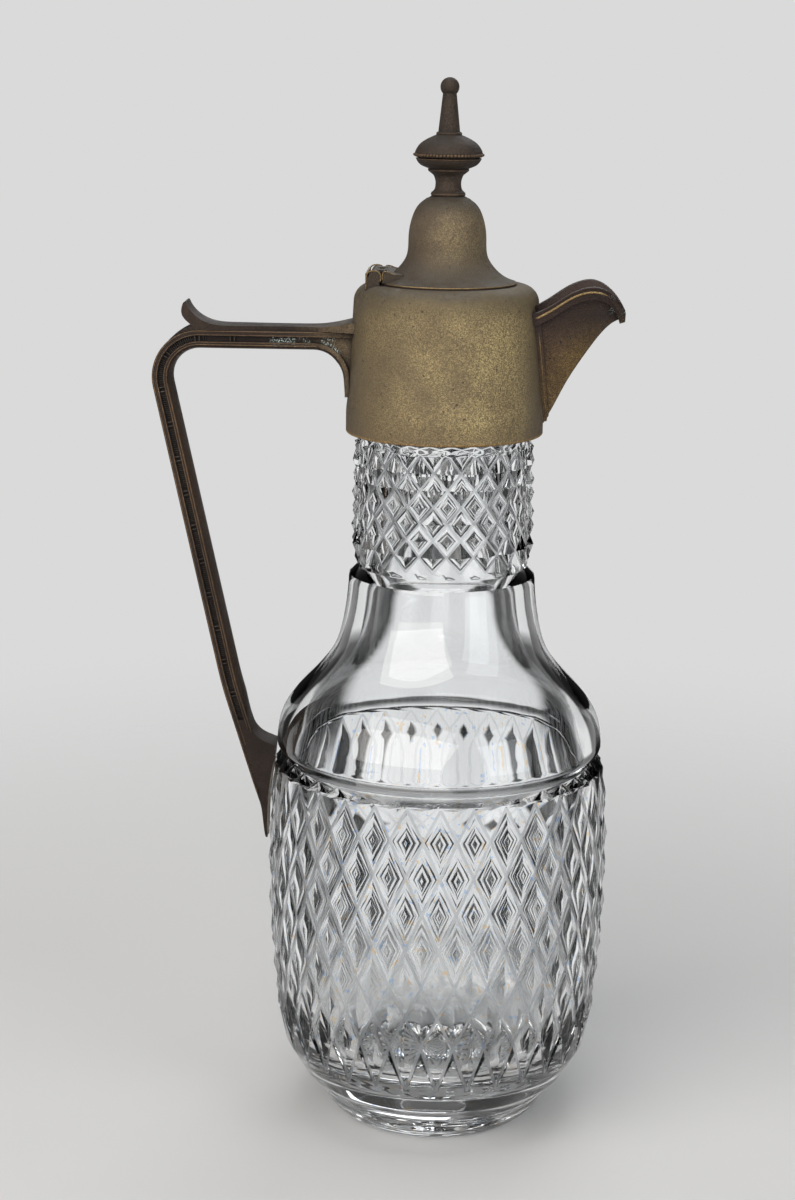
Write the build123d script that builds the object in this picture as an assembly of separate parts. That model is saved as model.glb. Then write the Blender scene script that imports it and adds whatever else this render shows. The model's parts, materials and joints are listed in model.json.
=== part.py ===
from build123d import *
import math
import os

# Claret jug: a cut-glass body with a brass collar, an open spout, a cast handle
# and a hinged lid that carries a turned finial.
# Millimetres. +Z is up and the jug stands on z = 0 with its axis on Z.
# The spout points along +X. The handle and the hinge of the lid are on the -X side.

# ---- glass: the cut belly and its foot ----
foot_radius = 28.2            # outer edge of the ring it stands on
foot_rest_width = 8.0         # width of that ring
foot_recess_depth = 2.4       # hollow under the foot
foot_flare = 6.2              # how far the foot widens towards its top
foot_height = 8.5
belly_edge_radius = 39.6      # sharp lower edge of the belly
belly_edge_z = 13.0
belly_radius = 50.4           # widest part
belly_height = 94.3           # from the lower edge to the upper edge
belly_wide_at = 69.0          # height of the widest part above the lower edge
belly_top_inset = 2.0         # how much narrower the upper edge is
belly_wall = 7.0
glass_floor = 17.5            # height of the inside floor
glass_floor_corner = 15.0

# ---- glass: ring groove, clear shoulder and neck ----
ring_groove_depth = 3.0
ring_groove_width = 6.0
shoulder_radius = 47.7
shoulder_height = 51.0
shoulder_foot = 2.0           # upright stretch at the bottom of the shoulder
neck_foot_radius = 27.0
neck_groove_depth = 2.3
neck_groove_width = 6.0
neck_radius = 26.3            # over the points of the cutting
neck_bore = 20.5
cut_neck_height = 33.5
collar_gap = 1.8              # plain glass between the cutting and the collar
hidden_neck_radius = 24.5
hidden_neck_height = 22.5     # neck inside the collar, up to the mouth
mouth_round = 1.5

# ---- collar ----
sheet = 1.2                   # brass sheet of the collar
collar_foot_radius = 28.2
collar_foot_height = 6.5
collar_step = 0.6
collar_step_height = 5.0      # the wall narrows over this height, above the foot
collar_edge_round = 0.5
collar_step_round = 30.0
collar_height = 42.3
collar_taper = 1.6            # how much narrower the wall is at the top than above the step
collar_shoulder_round = 5.0
lid_opening_radius = 17.3
seat_ring_width = 3.4
seat_ring_height = 1.6
plaster_inset = 1.0           # bedding starts this far above the collar's lower edge
plaster_below_mouth = 1.6     # and ends this far below the mouth of the glass

# ---- spout ----
spout_sheet = 1.0
spout_reach = 50.6            # from the axis of the jug to the tip
spout_root_half_width = 9.8
spout_half_width = 12.0
spout_tip_half_width = 3.2
spout_lip_drop = 7.0          # top of the collar down to the root of the spout's lip
spout_crest_rise = 0.7        # crest of the lip above the top of the collar
spout_root_drop = 38.5        # top of the collar down to the lowest point of the keel
spout_keel_round = 1.8        # radius of the fold along the keel
spout_rim_height = 3.6
spout_rim_thickness = 1.3
spout_strip_width = 1.6
spout_strip_proud = 0.6
spout_window_drop = 5.0       # top of the collar down to the window into the spout
spout_window_sill = 1.0       # mouth of the glass up to the lower edge of the window
spout_window_margin = 1.5     # window's side inside the outside of the spout
spout_trim_room = 2.0         # the sides run on above the lip, which trims them
spout_trim_height = 16.0      # and rise by half of this at the middle of the lip

# ---- handle ----
handle_width = 10.0
handle_depth = 4.4            # in side view, across the limb
handle_outer_flange = 1.6
handle_inner_flange = 1.2
handle_recess = 1.1           # depth of the channel in each side
handle_arm_drop = 13.7        # top of the collar down to the top of the arm
handle_reach = 83.4           # from the axis of the jug to the outside of the corner
handle_corner_radius = 13.6
handle_lean = 12.4            # degrees from upright, upper part of the limb
handle_knee_z = 130.0
handle_knee_radius = 120.0
bracket_drop = 18.5           # top of the arm down to the tip of the bracket
bracket_radius = 9.0
bracket_gap = 0.7             # between the bracket and the collar at the bracket's tip
terminal_top_z = 112.0        # where the foot of the handle first meets the glass
terminal_tip_z = 82.0
terminal_bend_share = 0.37    # height of the foot's bend, as a share from its tip to its top
terminal_bend_proud = 2.08    # outside of the limb beyond the glass at that bend
terminal_throat = 7.5         # radius of the hollow above the foot
terminal_tip_thickness = 0.45
terminal_bend_radius = 20.0   # where the limb bends towards the tip of the foot
terminal_throat_rise = 2.6    # bottom of the hollow above the top of the foot
terminal_run_in = 4.0         # the foot runs on into the glass, which trims it
pad_thickness = 0.4           # cement between the foot of the handle and the glass
pad_margin = 1.0              # cement stops this far inside the edge of the foot

# ---- thumb strap on top of the arm ----
strap_thickness = 1.3
strap_half_width = 4.6
strap_collar_half_width = 9.0
strap_collar_rise = 2.5
strap_flare_length = 11.0     # from the collar to where the strap is narrow and flat
strap_spur_length = 13.0      # from the tip of the spur to where the strap is flat
spur_rise = 7.8               # tip of the spur above the top of the arm
spur_back = 9.3               # tip of the spur from the outside of the corner
spur_thickness = 2.2
spur_crotch_rise = 1.1        # bottom of the gap behind the spur, above the top of the arm
strap_toe_back = 3.9          # end of the strap, past the spur, from the outside of the corner
strap_toe_drop = 4.4          # end of the strap below the top of the arm

# ---- hinge ----
hinge_back = 19.9             # axis of the hinge behind the axis of the jug
hinge_rise = 2.35             # axis of the hinge above the top of the collar
hinge_length = 20.0
knuckle_radius = 1.75
knuckle_gap = 0.15
pin_radius = 0.7
pin_clearance = 0.05
hinge_clearance = 0.3         # from a moving part of the hinge to a fixed one
knuckle_count = 5
lug_plate = 0.6
lug_plate_rise = 3.2          # above the top of the collar
leaf_thickness = 0.9
leaf_roll_length = 3.2        # from the knuckles to where the leaf drops to its flat part
leaf_run_in = 1.0             # the leaf runs on into the dome, which trims it

# ---- lid ----
lid_sheet = 1.0
lid_gap = 0.15                # under the rim of the closed lid
lid_rim_radius = 19.65
lid_rim_edge = 0.6
lid_dome_radius = 11.0        # waist of the bell-shaped dome
lid_crown_radius = 5.6        # flat on top of the dome
lid_height = 24.3
bezel_radius = 16.7
bezel_height = 3.8
bezel_thickness = 0.9
bezel_taper = 0.5
bezel_round = 0.3
bezel_seat = 0.4              # flat under the rim that the bezel is soldered against

# ---- finial ----
stud_radius = 1.5
stud_clearance = 0.05
nut_across = 5.5
nut_height = 2.4
washer_radius = 4.0
washer_height = 0.6
spool_flange_radius = 4.8
spool_height = 7.6
dish_radius = 9.2
dish_height = 2.9
cap_radius = 10.15
cap_height = 7.15
cap_edge_height = 1.1         # of the beaded edge
cap_seat_gap = 0.65           # shadow line between the dish and the cap
spire_height = 9.7
spire_foot_radius = 3.0
spire_top_radius = 1.95
ball_radius = 2.65
spool_waist_round = 6.0
spool_ring_round = 1.5
dish_round = 3.5
cap_edge_round = 0.45
cap_dome_round = 7.0

# ---- heights that follow from the sizes above ----
belly_top_z = belly_edge_z + belly_height
groove_floor_z = belly_top_z + ring_groove_width * 0.35
shoulder_z = belly_top_z + ring_groove_width
neck_foot_z = shoulder_z + shoulder_height
neck_cut_z = neck_foot_z + neck_groove_width
neck_cut_top_z = neck_cut_z + cut_neck_height
collar_z = neck_cut_top_z + collar_gap
mouth_z = collar_z + hidden_neck_height
collar_top_z = collar_z + collar_height
arm_z = collar_top_z - handle_arm_drop
hinge_x = -hinge_back
hinge_z = collar_top_z + hinge_rise
lid_z = collar_top_z + lid_gap
crown_z = lid_z + lid_height
spool_top_z = crown_z + spool_height
dish_top_z = spool_top_z + dish_height
cap_z = dish_top_z + cap_seat_gap
cap_top_z = cap_z + cap_height
spire_z = cap_top_z
ball_z = spire_z + spire_height + ball_radius * 0.75

far = 200.0                   # longer than any piece, for cutting tools
run_in = 4.0                  # pieces run this far into the collar, which trims them


# ---------------------------------------------------------------- shared helpers

def outline_edges(corners, closed=True):
    """Straight edges in the XZ plane with a round arc at each corner (x, z, radius)."""
    count = len(corners)
    entries = []
    for i, (x, z, radius) in enumerate(corners):
        corner = Vector(x, 0, z)
        at_end = not closed and i in (0, count - 1)
        if radius == 0 or at_end:
            entries.append((corner, corner, corner))
            continue
        before = Vector(corners[i - 1][0], 0, corners[i - 1][1])
        after = Vector(corners[(i + 1) % count][0], 0, corners[(i + 1) % count][1])
        back = (before - corner).normalized()
        on = (after - corner).normalized()
        half_angle = math.radians(back.get_angle(on)) / 2
        room_back = (before - corner).length * (0.49 if corners[i - 1][2] else 0.98)
        room_on = (after - corner).length * (0.49 if corners[(i + 1) % count][2] else 0.98)
        room = min(room_back, room_on)
        tangent = min(radius / math.tan(half_angle), room)
        arc_radius = tangent * math.tan(half_angle)
        bisector = (back + on).normalized()
        middle = corner + bisector * (arc_radius / math.sin(half_angle) - arc_radius)
        entries.append((corner + back * tangent, middle, corner + on * tangent))
    edges = []
    last = count if closed else count - 1
    for i in range(count):
        start, middle, end = entries[i]
        if (end - start).length > 1e-6:
            edges.append(ThreePointArc(start, middle, end))
        if i < last:
            following = entries[(i + 1) % count][0]
            if (following - end).length > 1e-6:
                edges.append(Line(end, following))
    return edges


def closed_face(edges):
    """A flat face bounded by edges that meet end to end."""
    return Face(Wire(edges))


def turned(corners):
    """A body of revolution about Z from (radius, z, corner radius) points."""
    return revolve(closed_face(outline_edges(corners)), axis=Axis.Z)


def slab(face, half_width):
    """A face of the XZ plane made solid to the same distance on both sides of it."""
    return extrude(face, amount=half_width, dir=(0, 1, 0), both=True)


def smooth(points, start=None, end=None):
    """A smooth edge through (x, z) points, with optional end directions."""
    places = [Vector(x, 0, z) for x, z in points]
    if start is None:
        return Spline(*places)
    return Spline(*places, tangents=[Vector(start[0], 0, start[1]), Vector(end[0], 0, end[1])])


def line(a, b):
    """A straight edge between two (x, z) points."""
    return Line(Vector(a[0], 0, a[1]), Vector(b[0], 0, b[1]))


# ---------------------------------------------------------------- glass

def belly_surface(z):
    """Radius over the points of the cutting at height z."""
    widest_z = belly_edge_z + belly_wide_at
    if z < widest_z:
        share = (widest_z - z) / belly_wide_at
        fall = (belly_radius - belly_edge_radius) * (1 - (1 - share ** 2.5) ** 0.57)
    else:
        share = (z - widest_z) / (belly_height - belly_wide_at)
        fall = belly_top_inset * share ** 3
    return belly_radius - fall


def belly_points(inset=0.0, low=0.0, high=1.0, count=9):
    """Points up the belly between two shares of its height, moved inwards by inset."""
    points = []
    for i in range(count):
        share = low + (high - low) * i / (count - 1)
        z = belly_edge_z + belly_height * share
        points.append((belly_surface(z) - inset, z))
    return points


def shoulder_points(inset=0.0):
    """Points up the S-shaped shoulder from its upright foot to the neck."""
    fall = shoulder_radius - neck_foot_radius
    low = shoulder_z + shoulder_foot
    rise = shoulder_height - shoulder_foot
    shares = [(0.0, 0.0), (0.045, 0.11), (0.235, 0.26), (0.55, 0.41), (0.85, 0.59), (0.975, 0.83), (1.0, 1.0)]
    return [(shoulder_radius - inset - fall * across, low + rise * up) for across, up in shares]


def glass_outside():
    """Edges of the outer profile from the foot's centre to the mouth."""
    rest_inner = foot_radius - foot_rest_width
    foot_top = foot_radius + foot_flare
    groove_r = shoulder_radius - ring_groove_depth
    neck_groove_r = neck_foot_radius - neck_groove_depth
    belly = belly_points()
    shoulder = shoulder_points()
    edges = []
    edges.append(line((0, foot_recess_depth), (rest_inner, 0)))
    edges.append(line((rest_inner, 0), (foot_radius, 0)))
    foot_waist = (foot_radius + foot_flare * 0.72, foot_height * 0.45)
    edges.append(smooth([(foot_radius, 0), foot_waist, (foot_top, foot_height)]))
    edges.append(line((foot_top, foot_height), belly[0]))
    edges.append(smooth(belly))
    edges.append(line(belly[-1], (groove_r, groove_floor_z)))
    edges.append(line((groove_r, groove_floor_z), (shoulder_radius, shoulder_z)))
    edges.append(line((shoulder_radius, shoulder_z), shoulder[0]))
    edges.append(smooth(shoulder, (0, 1), (-0.03, 1)))
    groove_z = neck_foot_z + neck_groove_width * 0.5
    edges.append(line(shoulder[-1], (neck_groove_r, groove_z)))
    edges.append(line((neck_groove_r, groove_z), (neck_radius, neck_cut_z)))
    edges.append(line((neck_radius, neck_cut_z), (neck_radius, neck_cut_top_z)))
    edges.append(line((neck_radius, neck_cut_top_z), (hidden_neck_radius, collar_z)))
    lip = mouth_z - mouth_round
    edges.append(line((hidden_neck_radius, collar_z), (hidden_neck_radius, lip)))
    return edges


def glass_inside():
    """Edges of the inner profile from the mouth down to the floor's centre."""
    lip = mouth_z - mouth_round
    inner = belly_points(belly_wall, 0.30, 0.93, 6)
    low_r, low_z = inner[0]
    throat = shoulder_points((shoulder_radius - inner[-1][0]) + 0.6)
    bore_top = (neck_bore, neck_foot_z)
    slope = [throat[2], throat[3], throat[4]]
    edges = []
    edges.append(ThreePointArc(
        (hidden_neck_radius, 0, lip),
        ((hidden_neck_radius + neck_bore) / 2, 0, mouth_z),
        (neck_bore, 0, lip)))
    edges.append(line((neck_bore, lip), bore_top))
    wide = (throat[0][0], throat[0][1] - shoulder_foot)
    edges.append(smooth([bore_top] + slope[::-1] + [wide], (0, -1), (0.05, -1)))
    edges.append(smooth([wide] + inner[::-1]))
    corner = glass_floor_corner
    edges.append(smooth([(low_r, low_z), (low_r - corner, glass_floor)], (-0.25, -1), (-1, 0)))
    edges.append(line((low_r - corner, glass_floor), (0, glass_floor)))
    edges.append(line((0, glass_floor), (0, foot_recess_depth)))
    return edges


def glass_body():
    """The blown and cut glass vessel in one piece."""
    return revolve(closed_face(glass_outside() + glass_inside()), axis=Axis.Z)


def glass_envelope(grow):
    """The outside of the belly and shoulder grown outwards, with the ring groove bridged."""
    points = belly_points(-grow)
    shoulder = shoulder_points(-grow)
    top_z = shoulder[-1][1]
    edges = [line((0, points[0][1]), points[0]), smooth(points), line(points[-1], shoulder[0])]
    edges.append(smooth(shoulder, (0, 1), (-0.03, 1)))
    edges.append(line(shoulder[-1], (0, top_z)))
    edges.append(line((0, top_z), (0, points[0][1])))
    return revolve(closed_face(edges), axis=Axis.Z)


# ---------------------------------------------------------------- collar

def collar_corners(inset=0.0):
    """Corners of the collar's wall from its lower edge to the lid opening."""
    low_r = collar_foot_radius - inset
    step_r = low_r - collar_step
    top_r = step_r - collar_taper
    step_z = collar_z + collar_foot_height
    top_z = collar_top_z - inset
    shoulder = collar_shoulder_round - inset
    return [
        (low_r, collar_z, collar_edge_round if inset == 0 else 0),
        (low_r, step_z, collar_step_round),
        (step_r, step_z + collar_step_height, collar_step_round),
        (top_r, top_z, shoulder),
        (lid_opening_radius, top_z, 0),
    ]


def collar_plug(grow=0.0):
    """The collar as a solid plug, grown outwards, for trimming what is soldered to it."""
    corners = collar_corners(-grow)
    low = corners[0]
    corners[0] = (low[0], low[1] - far, 0)
    corners[-1] = (0, corners[-1][1], 0)
    corners.append((0, low[1] - far, 0))
    return turned(corners)


def collar_radius_at(z):
    """Outer radius of the tapered wall of the collar."""
    step_r = collar_foot_radius - collar_step
    step_top = collar_foot_height + collar_step_height
    share = (z - collar_z - step_top) / (collar_height - step_top)
    return step_r - collar_taper * share


def collar_shell():
    """Spun sheet collar, with the lid opening on top and the window into the spout."""
    inner = collar_corners(sheet)
    shell = turned(collar_corners() + inner[::-1])
    window_top = collar_top_z - spout_window_drop
    window_low = mouth_z + spout_window_sill
    wide = spout_root_half_width - spout_window_margin
    share = (window_low - collar_top_z + spout_root_drop) / (spout_root_drop - spout_lip_drop)
    narrow = wide * share
    window = Polyline(
        (0, -wide, window_top), (0, wide, window_top), (0, narrow, window_low), (0, -narrow, window_low),
        close=True)
    opening = extrude(Face(Wire(window.edges())), amount=far, dir=(1, 0, 0))
    return shell - opening


def collar_seat_ring():
    """Flat ring soldered under the top sheet, round the lid opening."""
    top = collar_top_z - sheet
    outer = lid_opening_radius + seat_ring_width
    return turned([
        (lid_opening_radius, top, 0), (outer, top, 0),
        (outer, top - seat_ring_height, 0), (lid_opening_radius, top - seat_ring_height, 0)])


def plaster_bedding():
    """Plaster that beds the neck of the glass in the collar."""
    low = collar_z + plaster_inset
    high = mouth_z - mouth_round - plaster_below_mouth
    block = turned([
        (hidden_neck_radius, low, 0), (collar_foot_radius, low, 0),
        (collar_foot_radius, high, 0), (hidden_neck_radius, high, 0)])
    inner = collar_corners(sheet)
    inner[0] = (inner[0][0], inner[0][1] - 1.0, 0)
    inner[-1] = (0, inner[-1][1], 0)
    inner.append((0, inner[0][1], 0))
    return block & turned(inner)


# ---------------------------------------------------------------- spout

def spout_crest():
    """Points (x, z) of the crest of the lip from inside the collar to the tip."""
    root_z = collar_top_z - spout_lip_drop
    peak_z = collar_top_z + spout_crest_rise
    rise = peak_z - root_z
    root_x = collar_foot_radius - run_in
    run = spout_reach - root_x
    shares = [(-0.10, -0.04), (0.13, 0.16), (0.27, 0.46), (0.41, 0.77), (0.54, 0.95),
              (0.66, 1.0), (0.78, 0.87), (0.88, 0.61), (0.96, 0.25), (1.0, -0.02)]
    return [(root_x + run * along, root_z + rise * up) for along, up in shares]


def spout_sections():
    """x, half-width of the lip, height of the lip and height of the keel, from root to tip."""
    keel_z = collar_top_z - spout_root_drop
    root_x = collar_foot_radius - collar_step
    run = spout_reach - root_x
    depth = spout_root_drop - spout_lip_drop
    trim_low = collar_top_z - spout_lip_drop + spout_trim_room
    root, wide, tip = spout_root_half_width, spout_half_width, spout_tip_half_width
    opening = wide - root
    closing = wide - tip
    plan = [
        (-0.25, root - opening * 0.45, 0.0, -0.16),
        (0.00, root, 0.04, -0.03),
        (0.10, root + opening * 0.25, 0.16, 0.07),
        (0.24, root + opening * 0.55, 0.32, 0.27),
        (0.42, root + opening * 0.86, 0.5, 0.50),
        (0.62, wide, 0.5, 0.715),
        (0.80, tip + closing * 0.73, 0.4, 0.87),
        (0.94, tip + closing * 0.33, 0.25, 0.93),
        (1.03, tip, 0.12, 0.955),
    ]
    sections = []
    for along, half_width, lift, keel in plan:
        top_z = trim_low + spout_trim_height * lift
        sections.append((root_x + run * along, half_width, top_z, keel_z + depth * keel))
    return sections


def spout_loft(grow):
    """The trough of the spout as a solid, grown outwards by a wall's thickness."""
    round_radius = spout_keel_round + grow
    profiles = []
    for x, half_width, top_z, keel_z in spout_sections():
        centre_z = keel_z + spout_keel_round
        lean = math.atan2(half_width, top_z - centre_z)
        side = half_width + grow / math.cos(lean)
        reach = math.hypot(side, top_z - centre_z)
        turn = math.atan2(top_z - centre_z, side) - math.acos(round_radius / reach)
        low_y = round_radius * math.cos(turn)
        low_z = centre_z + round_radius * math.sin(turn)
        left = Line((x, -side, top_z), (x, -low_y, low_z))
        keel = ThreePointArc((x, -low_y, low_z), (x, 0, centre_z - round_radius), (x, low_y, low_z))
        right = Line((x, low_y, low_z), (x, side, top_z))
        lid_edge = Line((x, side, top_z), (x, -side, top_z))
        profiles.append(Face(Wire([left, keel, right, lid_edge])))
    return loft(profiles)


def below_crest(drop):
    """Everything under the crest of the spout's lip, lowered by drop."""
    return below_line([(x, z - drop) for x, z in spout_crest()])


def below_line(points):
    """Everything under a smooth line through (x, z) points."""
    low = (points[0][0], points[0][1] - far)
    low_end = (points[-1][0], low[1])
    edges = [smooth(points), line(points[-1], low_end), line(low_end, low), line(low, points[0])]
    return slab(closed_face(edges), far)


def spout_body():
    """Folded sheet trough of the spout, open along the top."""
    trough = spout_loft(0.0) - spout_loft(-spout_sheet)
    return (trough & below_crest(0.0)) - collar_plug()


def spout_rim():
    """Moulded wire along the lip of the spout, on its outside, and under the nose at its tip."""
    shares = [1.0] * (len(spout_crest()) - 3) + [1.15, 1.9, 2.3]
    lower = [(x, z - spout_rim_height * share) for (x, z), share in zip(spout_crest(), shares)]
    band = below_crest(0.0) - below_line(lower)
    wire = spout_loft(spout_rim_thickness) - spout_loft(0.0)
    return (wire & band) - collar_plug()


def spout_joint_strip():
    """Strip that covers the soldered joint between the spout and the collar."""
    strip = spout_loft(spout_strip_proud) & collar_plug(spout_strip_width)
    strip = strip - collar_plug() - spout_loft(0.0)
    return strip & below_crest(spout_rim_height)


# ---------------------------------------------------------------- handle

def meet(point, direction, other_point, other_direction):
    """Where two lines of the XZ plane cross."""
    (px, pz), (ux, uz) = point, direction
    (qx, qz), (vx, vz) = other_point, other_direction
    cross = ux * vz - uz * vx
    along = ((qx - px) * vz - (qz - pz) * vx) / cross
    return px + ux * along, pz + uz * along


def terminal_bend():
    """Where the outside of the limb bends towards the tip of the handle's foot."""
    z = terminal_tip_z + terminal_bend_share * (terminal_top_z - terminal_tip_z)
    return -(belly_surface(z) + terminal_bend_proud), z


def limb_lines(depth):
    """Point and direction of the upper and lower limb lines, at a depth inside the outer face."""
    centre = (handle_corner_radius - handle_reach, arm_z - handle_corner_radius)
    upper = math.radians(handle_lean)
    offset = handle_corner_radius - depth
    upper_point = (centre[0] - offset * math.cos(upper), centre[1] - offset * math.sin(upper))
    upper_way = (math.sin(upper), -math.cos(upper))
    outer_point = (
        centre[0] - handle_corner_radius * math.cos(upper),
        centre[1] - handle_corner_radius * math.sin(upper))
    knee = meet(outer_point, upper_way, (0, handle_knee_z), (1, 0))
    bend_x, bend_z = terminal_bend()
    lower = math.atan2(bend_x - knee[0], knee[1] - bend_z)
    lower_point = (knee[0] + depth * math.cos(lower), knee[1] + depth * math.sin(lower))
    lower_way = (math.sin(lower), -math.cos(lower))
    return (upper_point, upper_way), (lower_point, lower_way)


def limb_at(depth, z):
    """Point of the lower limb line at a height."""
    lower = limb_lines(depth)[1]
    return meet(lower[0], lower[1], (0, z), (1, 0))


def limb_corners(depth, with_bracket):
    """Corners of the handle's line in side view, from the collar down to the foot."""
    upper, lower = limb_lines(depth)
    arm = (0, arm_z - depth)
    corner = meet(arm, (1, 0), *upper)
    knee = meet(*upper, *lower)
    end = limb_at(depth, terminal_top_z + terminal_throat * 0.5)
    corners = []
    if with_bracket:
        inner = handle_depth - depth
        tip_z = arm_z - bracket_drop
        x = -(collar_radius_at(tip_z) + bracket_gap) + inner
        corners.append((x, tip_z, 0))
        corners.append((x, arm[1], bracket_radius + inner))
    else:
        corners.append((run_in - collar_radius_at(arm_z), arm[1], 0))
    corners.append((corner[0], corner[1], handle_corner_radius - depth))
    corners.append((knee[0], knee[1], handle_knee_radius - depth))
    corners.append((end[0], end[1], 0))
    return corners


def band(outer_depth, outer_bracket, inner_depth, half_width):
    """A stretch of the handle between two depths, solid across its width."""
    outer = limb_corners(outer_depth, outer_bracket)
    inner = limb_corners(inner_depth, True)
    if not outer_bracket:
        inner.insert(0, (run_in - collar_radius_at(arm_z), inner[0][1], 0))
    return slab(closed_face(outline_edges(outer + inner[::-1])), half_width)


def terminal():
    """The foot of the handle in side view, running into the glass, which trims it."""
    join_z = terminal_top_z + terminal_throat
    throat_z = terminal_top_z + terminal_throat_rise
    inside_x = -shoulder_radius * 0.8
    tip_x = -(belly_surface(terminal_tip_z) + pad_thickness + terminal_tip_thickness)
    top = limb_at(0.0, join_z)
    bend = terminal_bend()
    throat = limb_at(handle_depth, throat_z)
    inner_top = limb_at(handle_depth, join_z + 0.5)
    corners = [
        (top[0], top[1], 0),
        (bend[0], bend[1], terminal_bend_radius),
        (tip_x, terminal_tip_z, 0),
        (inside_x, terminal_tip_z, 0),
        (inside_x, terminal_top_z - terminal_run_in, 0),
        (throat[0], throat[1], terminal_throat),
        (inner_top[0], inner_top[1], 0),
    ]
    return slab(closed_face(outline_edges(corners)), handle_width / 2)


def terminal_front(margin):
    """Front shape of the handle's foot: parallel sides that close to a rounded tip."""
    half = handle_width / 2 - margin
    shoulder = terminal_tip_z + 0.65 * (terminal_top_z - terminal_tip_z)
    middle = terminal_tip_z + 0.25 * (terminal_top_z - terminal_tip_z)
    tip = terminal_tip_z + margin
    left = Line((0, -half, arm_z + far), (0, -half, shoulder))
    left_points = [(0, -half, shoulder), (0, -half * 0.68, middle), (0, 0, tip)]
    left_side = Spline(*left_points, tangents=[(0, 0, -1), (0, 1, -0.3)])
    right_points = [(0, 0, tip), (0, half * 0.68, middle), (0, half, shoulder)]
    right_side = Spline(*right_points, tangents=[(0, 1, 0.3), (0, 0, 1)])
    right = Line((0, half, shoulder), (0, half, arm_z + far))
    top = Line((0, half, arm_z + far), (0, -half, arm_z + far))
    return extrude(Face(Wire([left, left_side, right_side, right, top])), amount=far, dir=(-1, 0, 0))


def handle_limb():
    """Cast handle: arm, corner and limb of I-section, with a bracket and a leaf-shaped foot."""
    half = handle_width / 2
    inner_flange_depth = handle_depth - handle_inner_flange
    casting = band(0.0, False, handle_depth, half - handle_recess)
    casting += band(inner_flange_depth, True, handle_depth, half)
    outer = limb_corners(0.0, False)
    outer_inside = limb_corners(handle_outer_flange, False)
    casting += slab(closed_face(outline_edges(outer + outer_inside[::-1])), half)
    foot = (terminal() - glass_envelope(pad_thickness)) & terminal_front(0.0)
    return casting - collar_plug() + foot


def handle_pad():
    """Cement between the foot of the handle and the cut glass."""
    low = terminal_tip_z + pad_margin
    high = belly_top_z - pad_margin
    half = handle_width / 2
    room = block((-belly_radius * 1.2, -half, low), (-belly_radius * 0.8, half, high))
    pad = (room & glass_envelope(pad_thickness)) - glass_envelope(0.0)
    return pad & terminal_front(pad_margin)


def strap_side():
    """Side view of the thumb strap, from inside the collar to the tip of its spur."""
    collar_x = run_in - collar_radius_at(arm_z)
    back_x = -handle_reach
    tip = (back_x + spur_back + spur_thickness * 0.25, arm_z + spur_rise)
    nose = (back_x + spur_back - spur_thickness * 0.35, arm_z + spur_rise - spur_thickness)
    crotch = (back_x + handle_corner_radius * 0.85, arm_z + spur_crotch_rise)
    toe_top = (back_x + handle_corner_radius * 0.53, arm_z - spur_crotch_rise)
    toe = (back_x + strap_toe_back, arm_z - strap_toe_drop)
    flat_z = arm_z + strap_thickness
    flat_end = (back_x + spur_back + strap_spur_length, flat_z)
    flat_start = (collar_x - run_in - strap_flare_length, flat_z)
    top_end = (collar_x, flat_z + strap_collar_rise)
    spur_mid = (tip[0] + strap_spur_length * 0.35, arm_z + spur_rise * 0.36)
    edges = []
    edges.append(line((collar_x, arm_z), top_end))
    edges.append(smooth([top_end, flat_start], (-1, -0.25), (-1, 0)))
    edges.append(line(flat_start, flat_end))
    edges.append(smooth([flat_end, spur_mid, tip], (-1, 0), (-0.4, 1)))
    edges.append(smooth([tip, nose], (-1, 0.5), (-0.1, -1)))
    edges.append(smooth([nose, crotch], (-0.1, -1), (1, -1)))
    edges.append(smooth([crotch, toe_top, toe], (-1, -0.3), (-0.6, -1)))
    edges.append(line(toe, (collar_x, toe[1])))
    edges.append(line((collar_x, toe[1]), (collar_x, arm_z)))
    return slab(closed_face(edges), far)


def strap_plan():
    """Plan view of the thumb strap: wide at the collar, narrow along the arm."""
    collar_x = run_in - collar_radius_at(arm_z)
    tip_x = -handle_reach + strap_toe_back
    half = strap_half_width
    flare = run_in + strap_flare_length
    swell_x = spur_back - handle_reach + strap_spur_length * 0.3
    side = [
        (collar_x, strap_collar_half_width),
        (collar_x - flare * 0.5, half * 1.38),
        (collar_x - flare, half),
        (collar_x - flare * 1.9, half * 0.96),
        (swell_x, half * 1.1),
        (tip_x + spur_thickness, half * 0.88),
    ]
    near = Spline(*[(x, -y, 0) for x, y in side])
    distant = Spline(*[(x, y, 0) for x, y in side])
    nose_x = tip_x - spur_thickness * 0.4
    tip = ThreePointArc((side[-1][0], -side[-1][1], 0), (nose_x, 0, 0), (side[-1][0], side[-1][1], 0))
    root = Line((side[0][0], side[0][1], 0), (side[0][0], -side[0][1], 0))
    return extrude(Face(Wire([near, tip, distant, root])), amount=far * 2, dir=(0, 0, 1))


def handle_thumb_strap():
    """Strap soldered on top of the arm, flared at the collar and curled up into a spur."""
    below = limb_corners(0.0, False)
    start, end = below[0], below[-1]
    below.append((end[0] + far, end[1], 0))
    below.append((start[0] + far, start[1], 0))
    limb_room = slab(closed_face(outline_edges(below)), far)
    return (strap_side() & strap_plan()) - limb_room - collar_plug()


# ---------------------------------------------------------------- hinge

def barrel(radius, low_y, high_y):
    """A round bar on the hinge's axis between two places along it."""
    bar = Cylinder(radius, high_y - low_y, rotation=(90, 0, 0))
    return Pos(hinge_x, (low_y + high_y) / 2, hinge_z) * bar


def block(low, high):
    """A box between two opposite corners."""
    size = [b - a for a, b in zip(low, high)]
    middle = [(a + b) / 2 for a, b in zip(low, high)]
    return Pos(*middle) * Box(*size)


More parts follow.
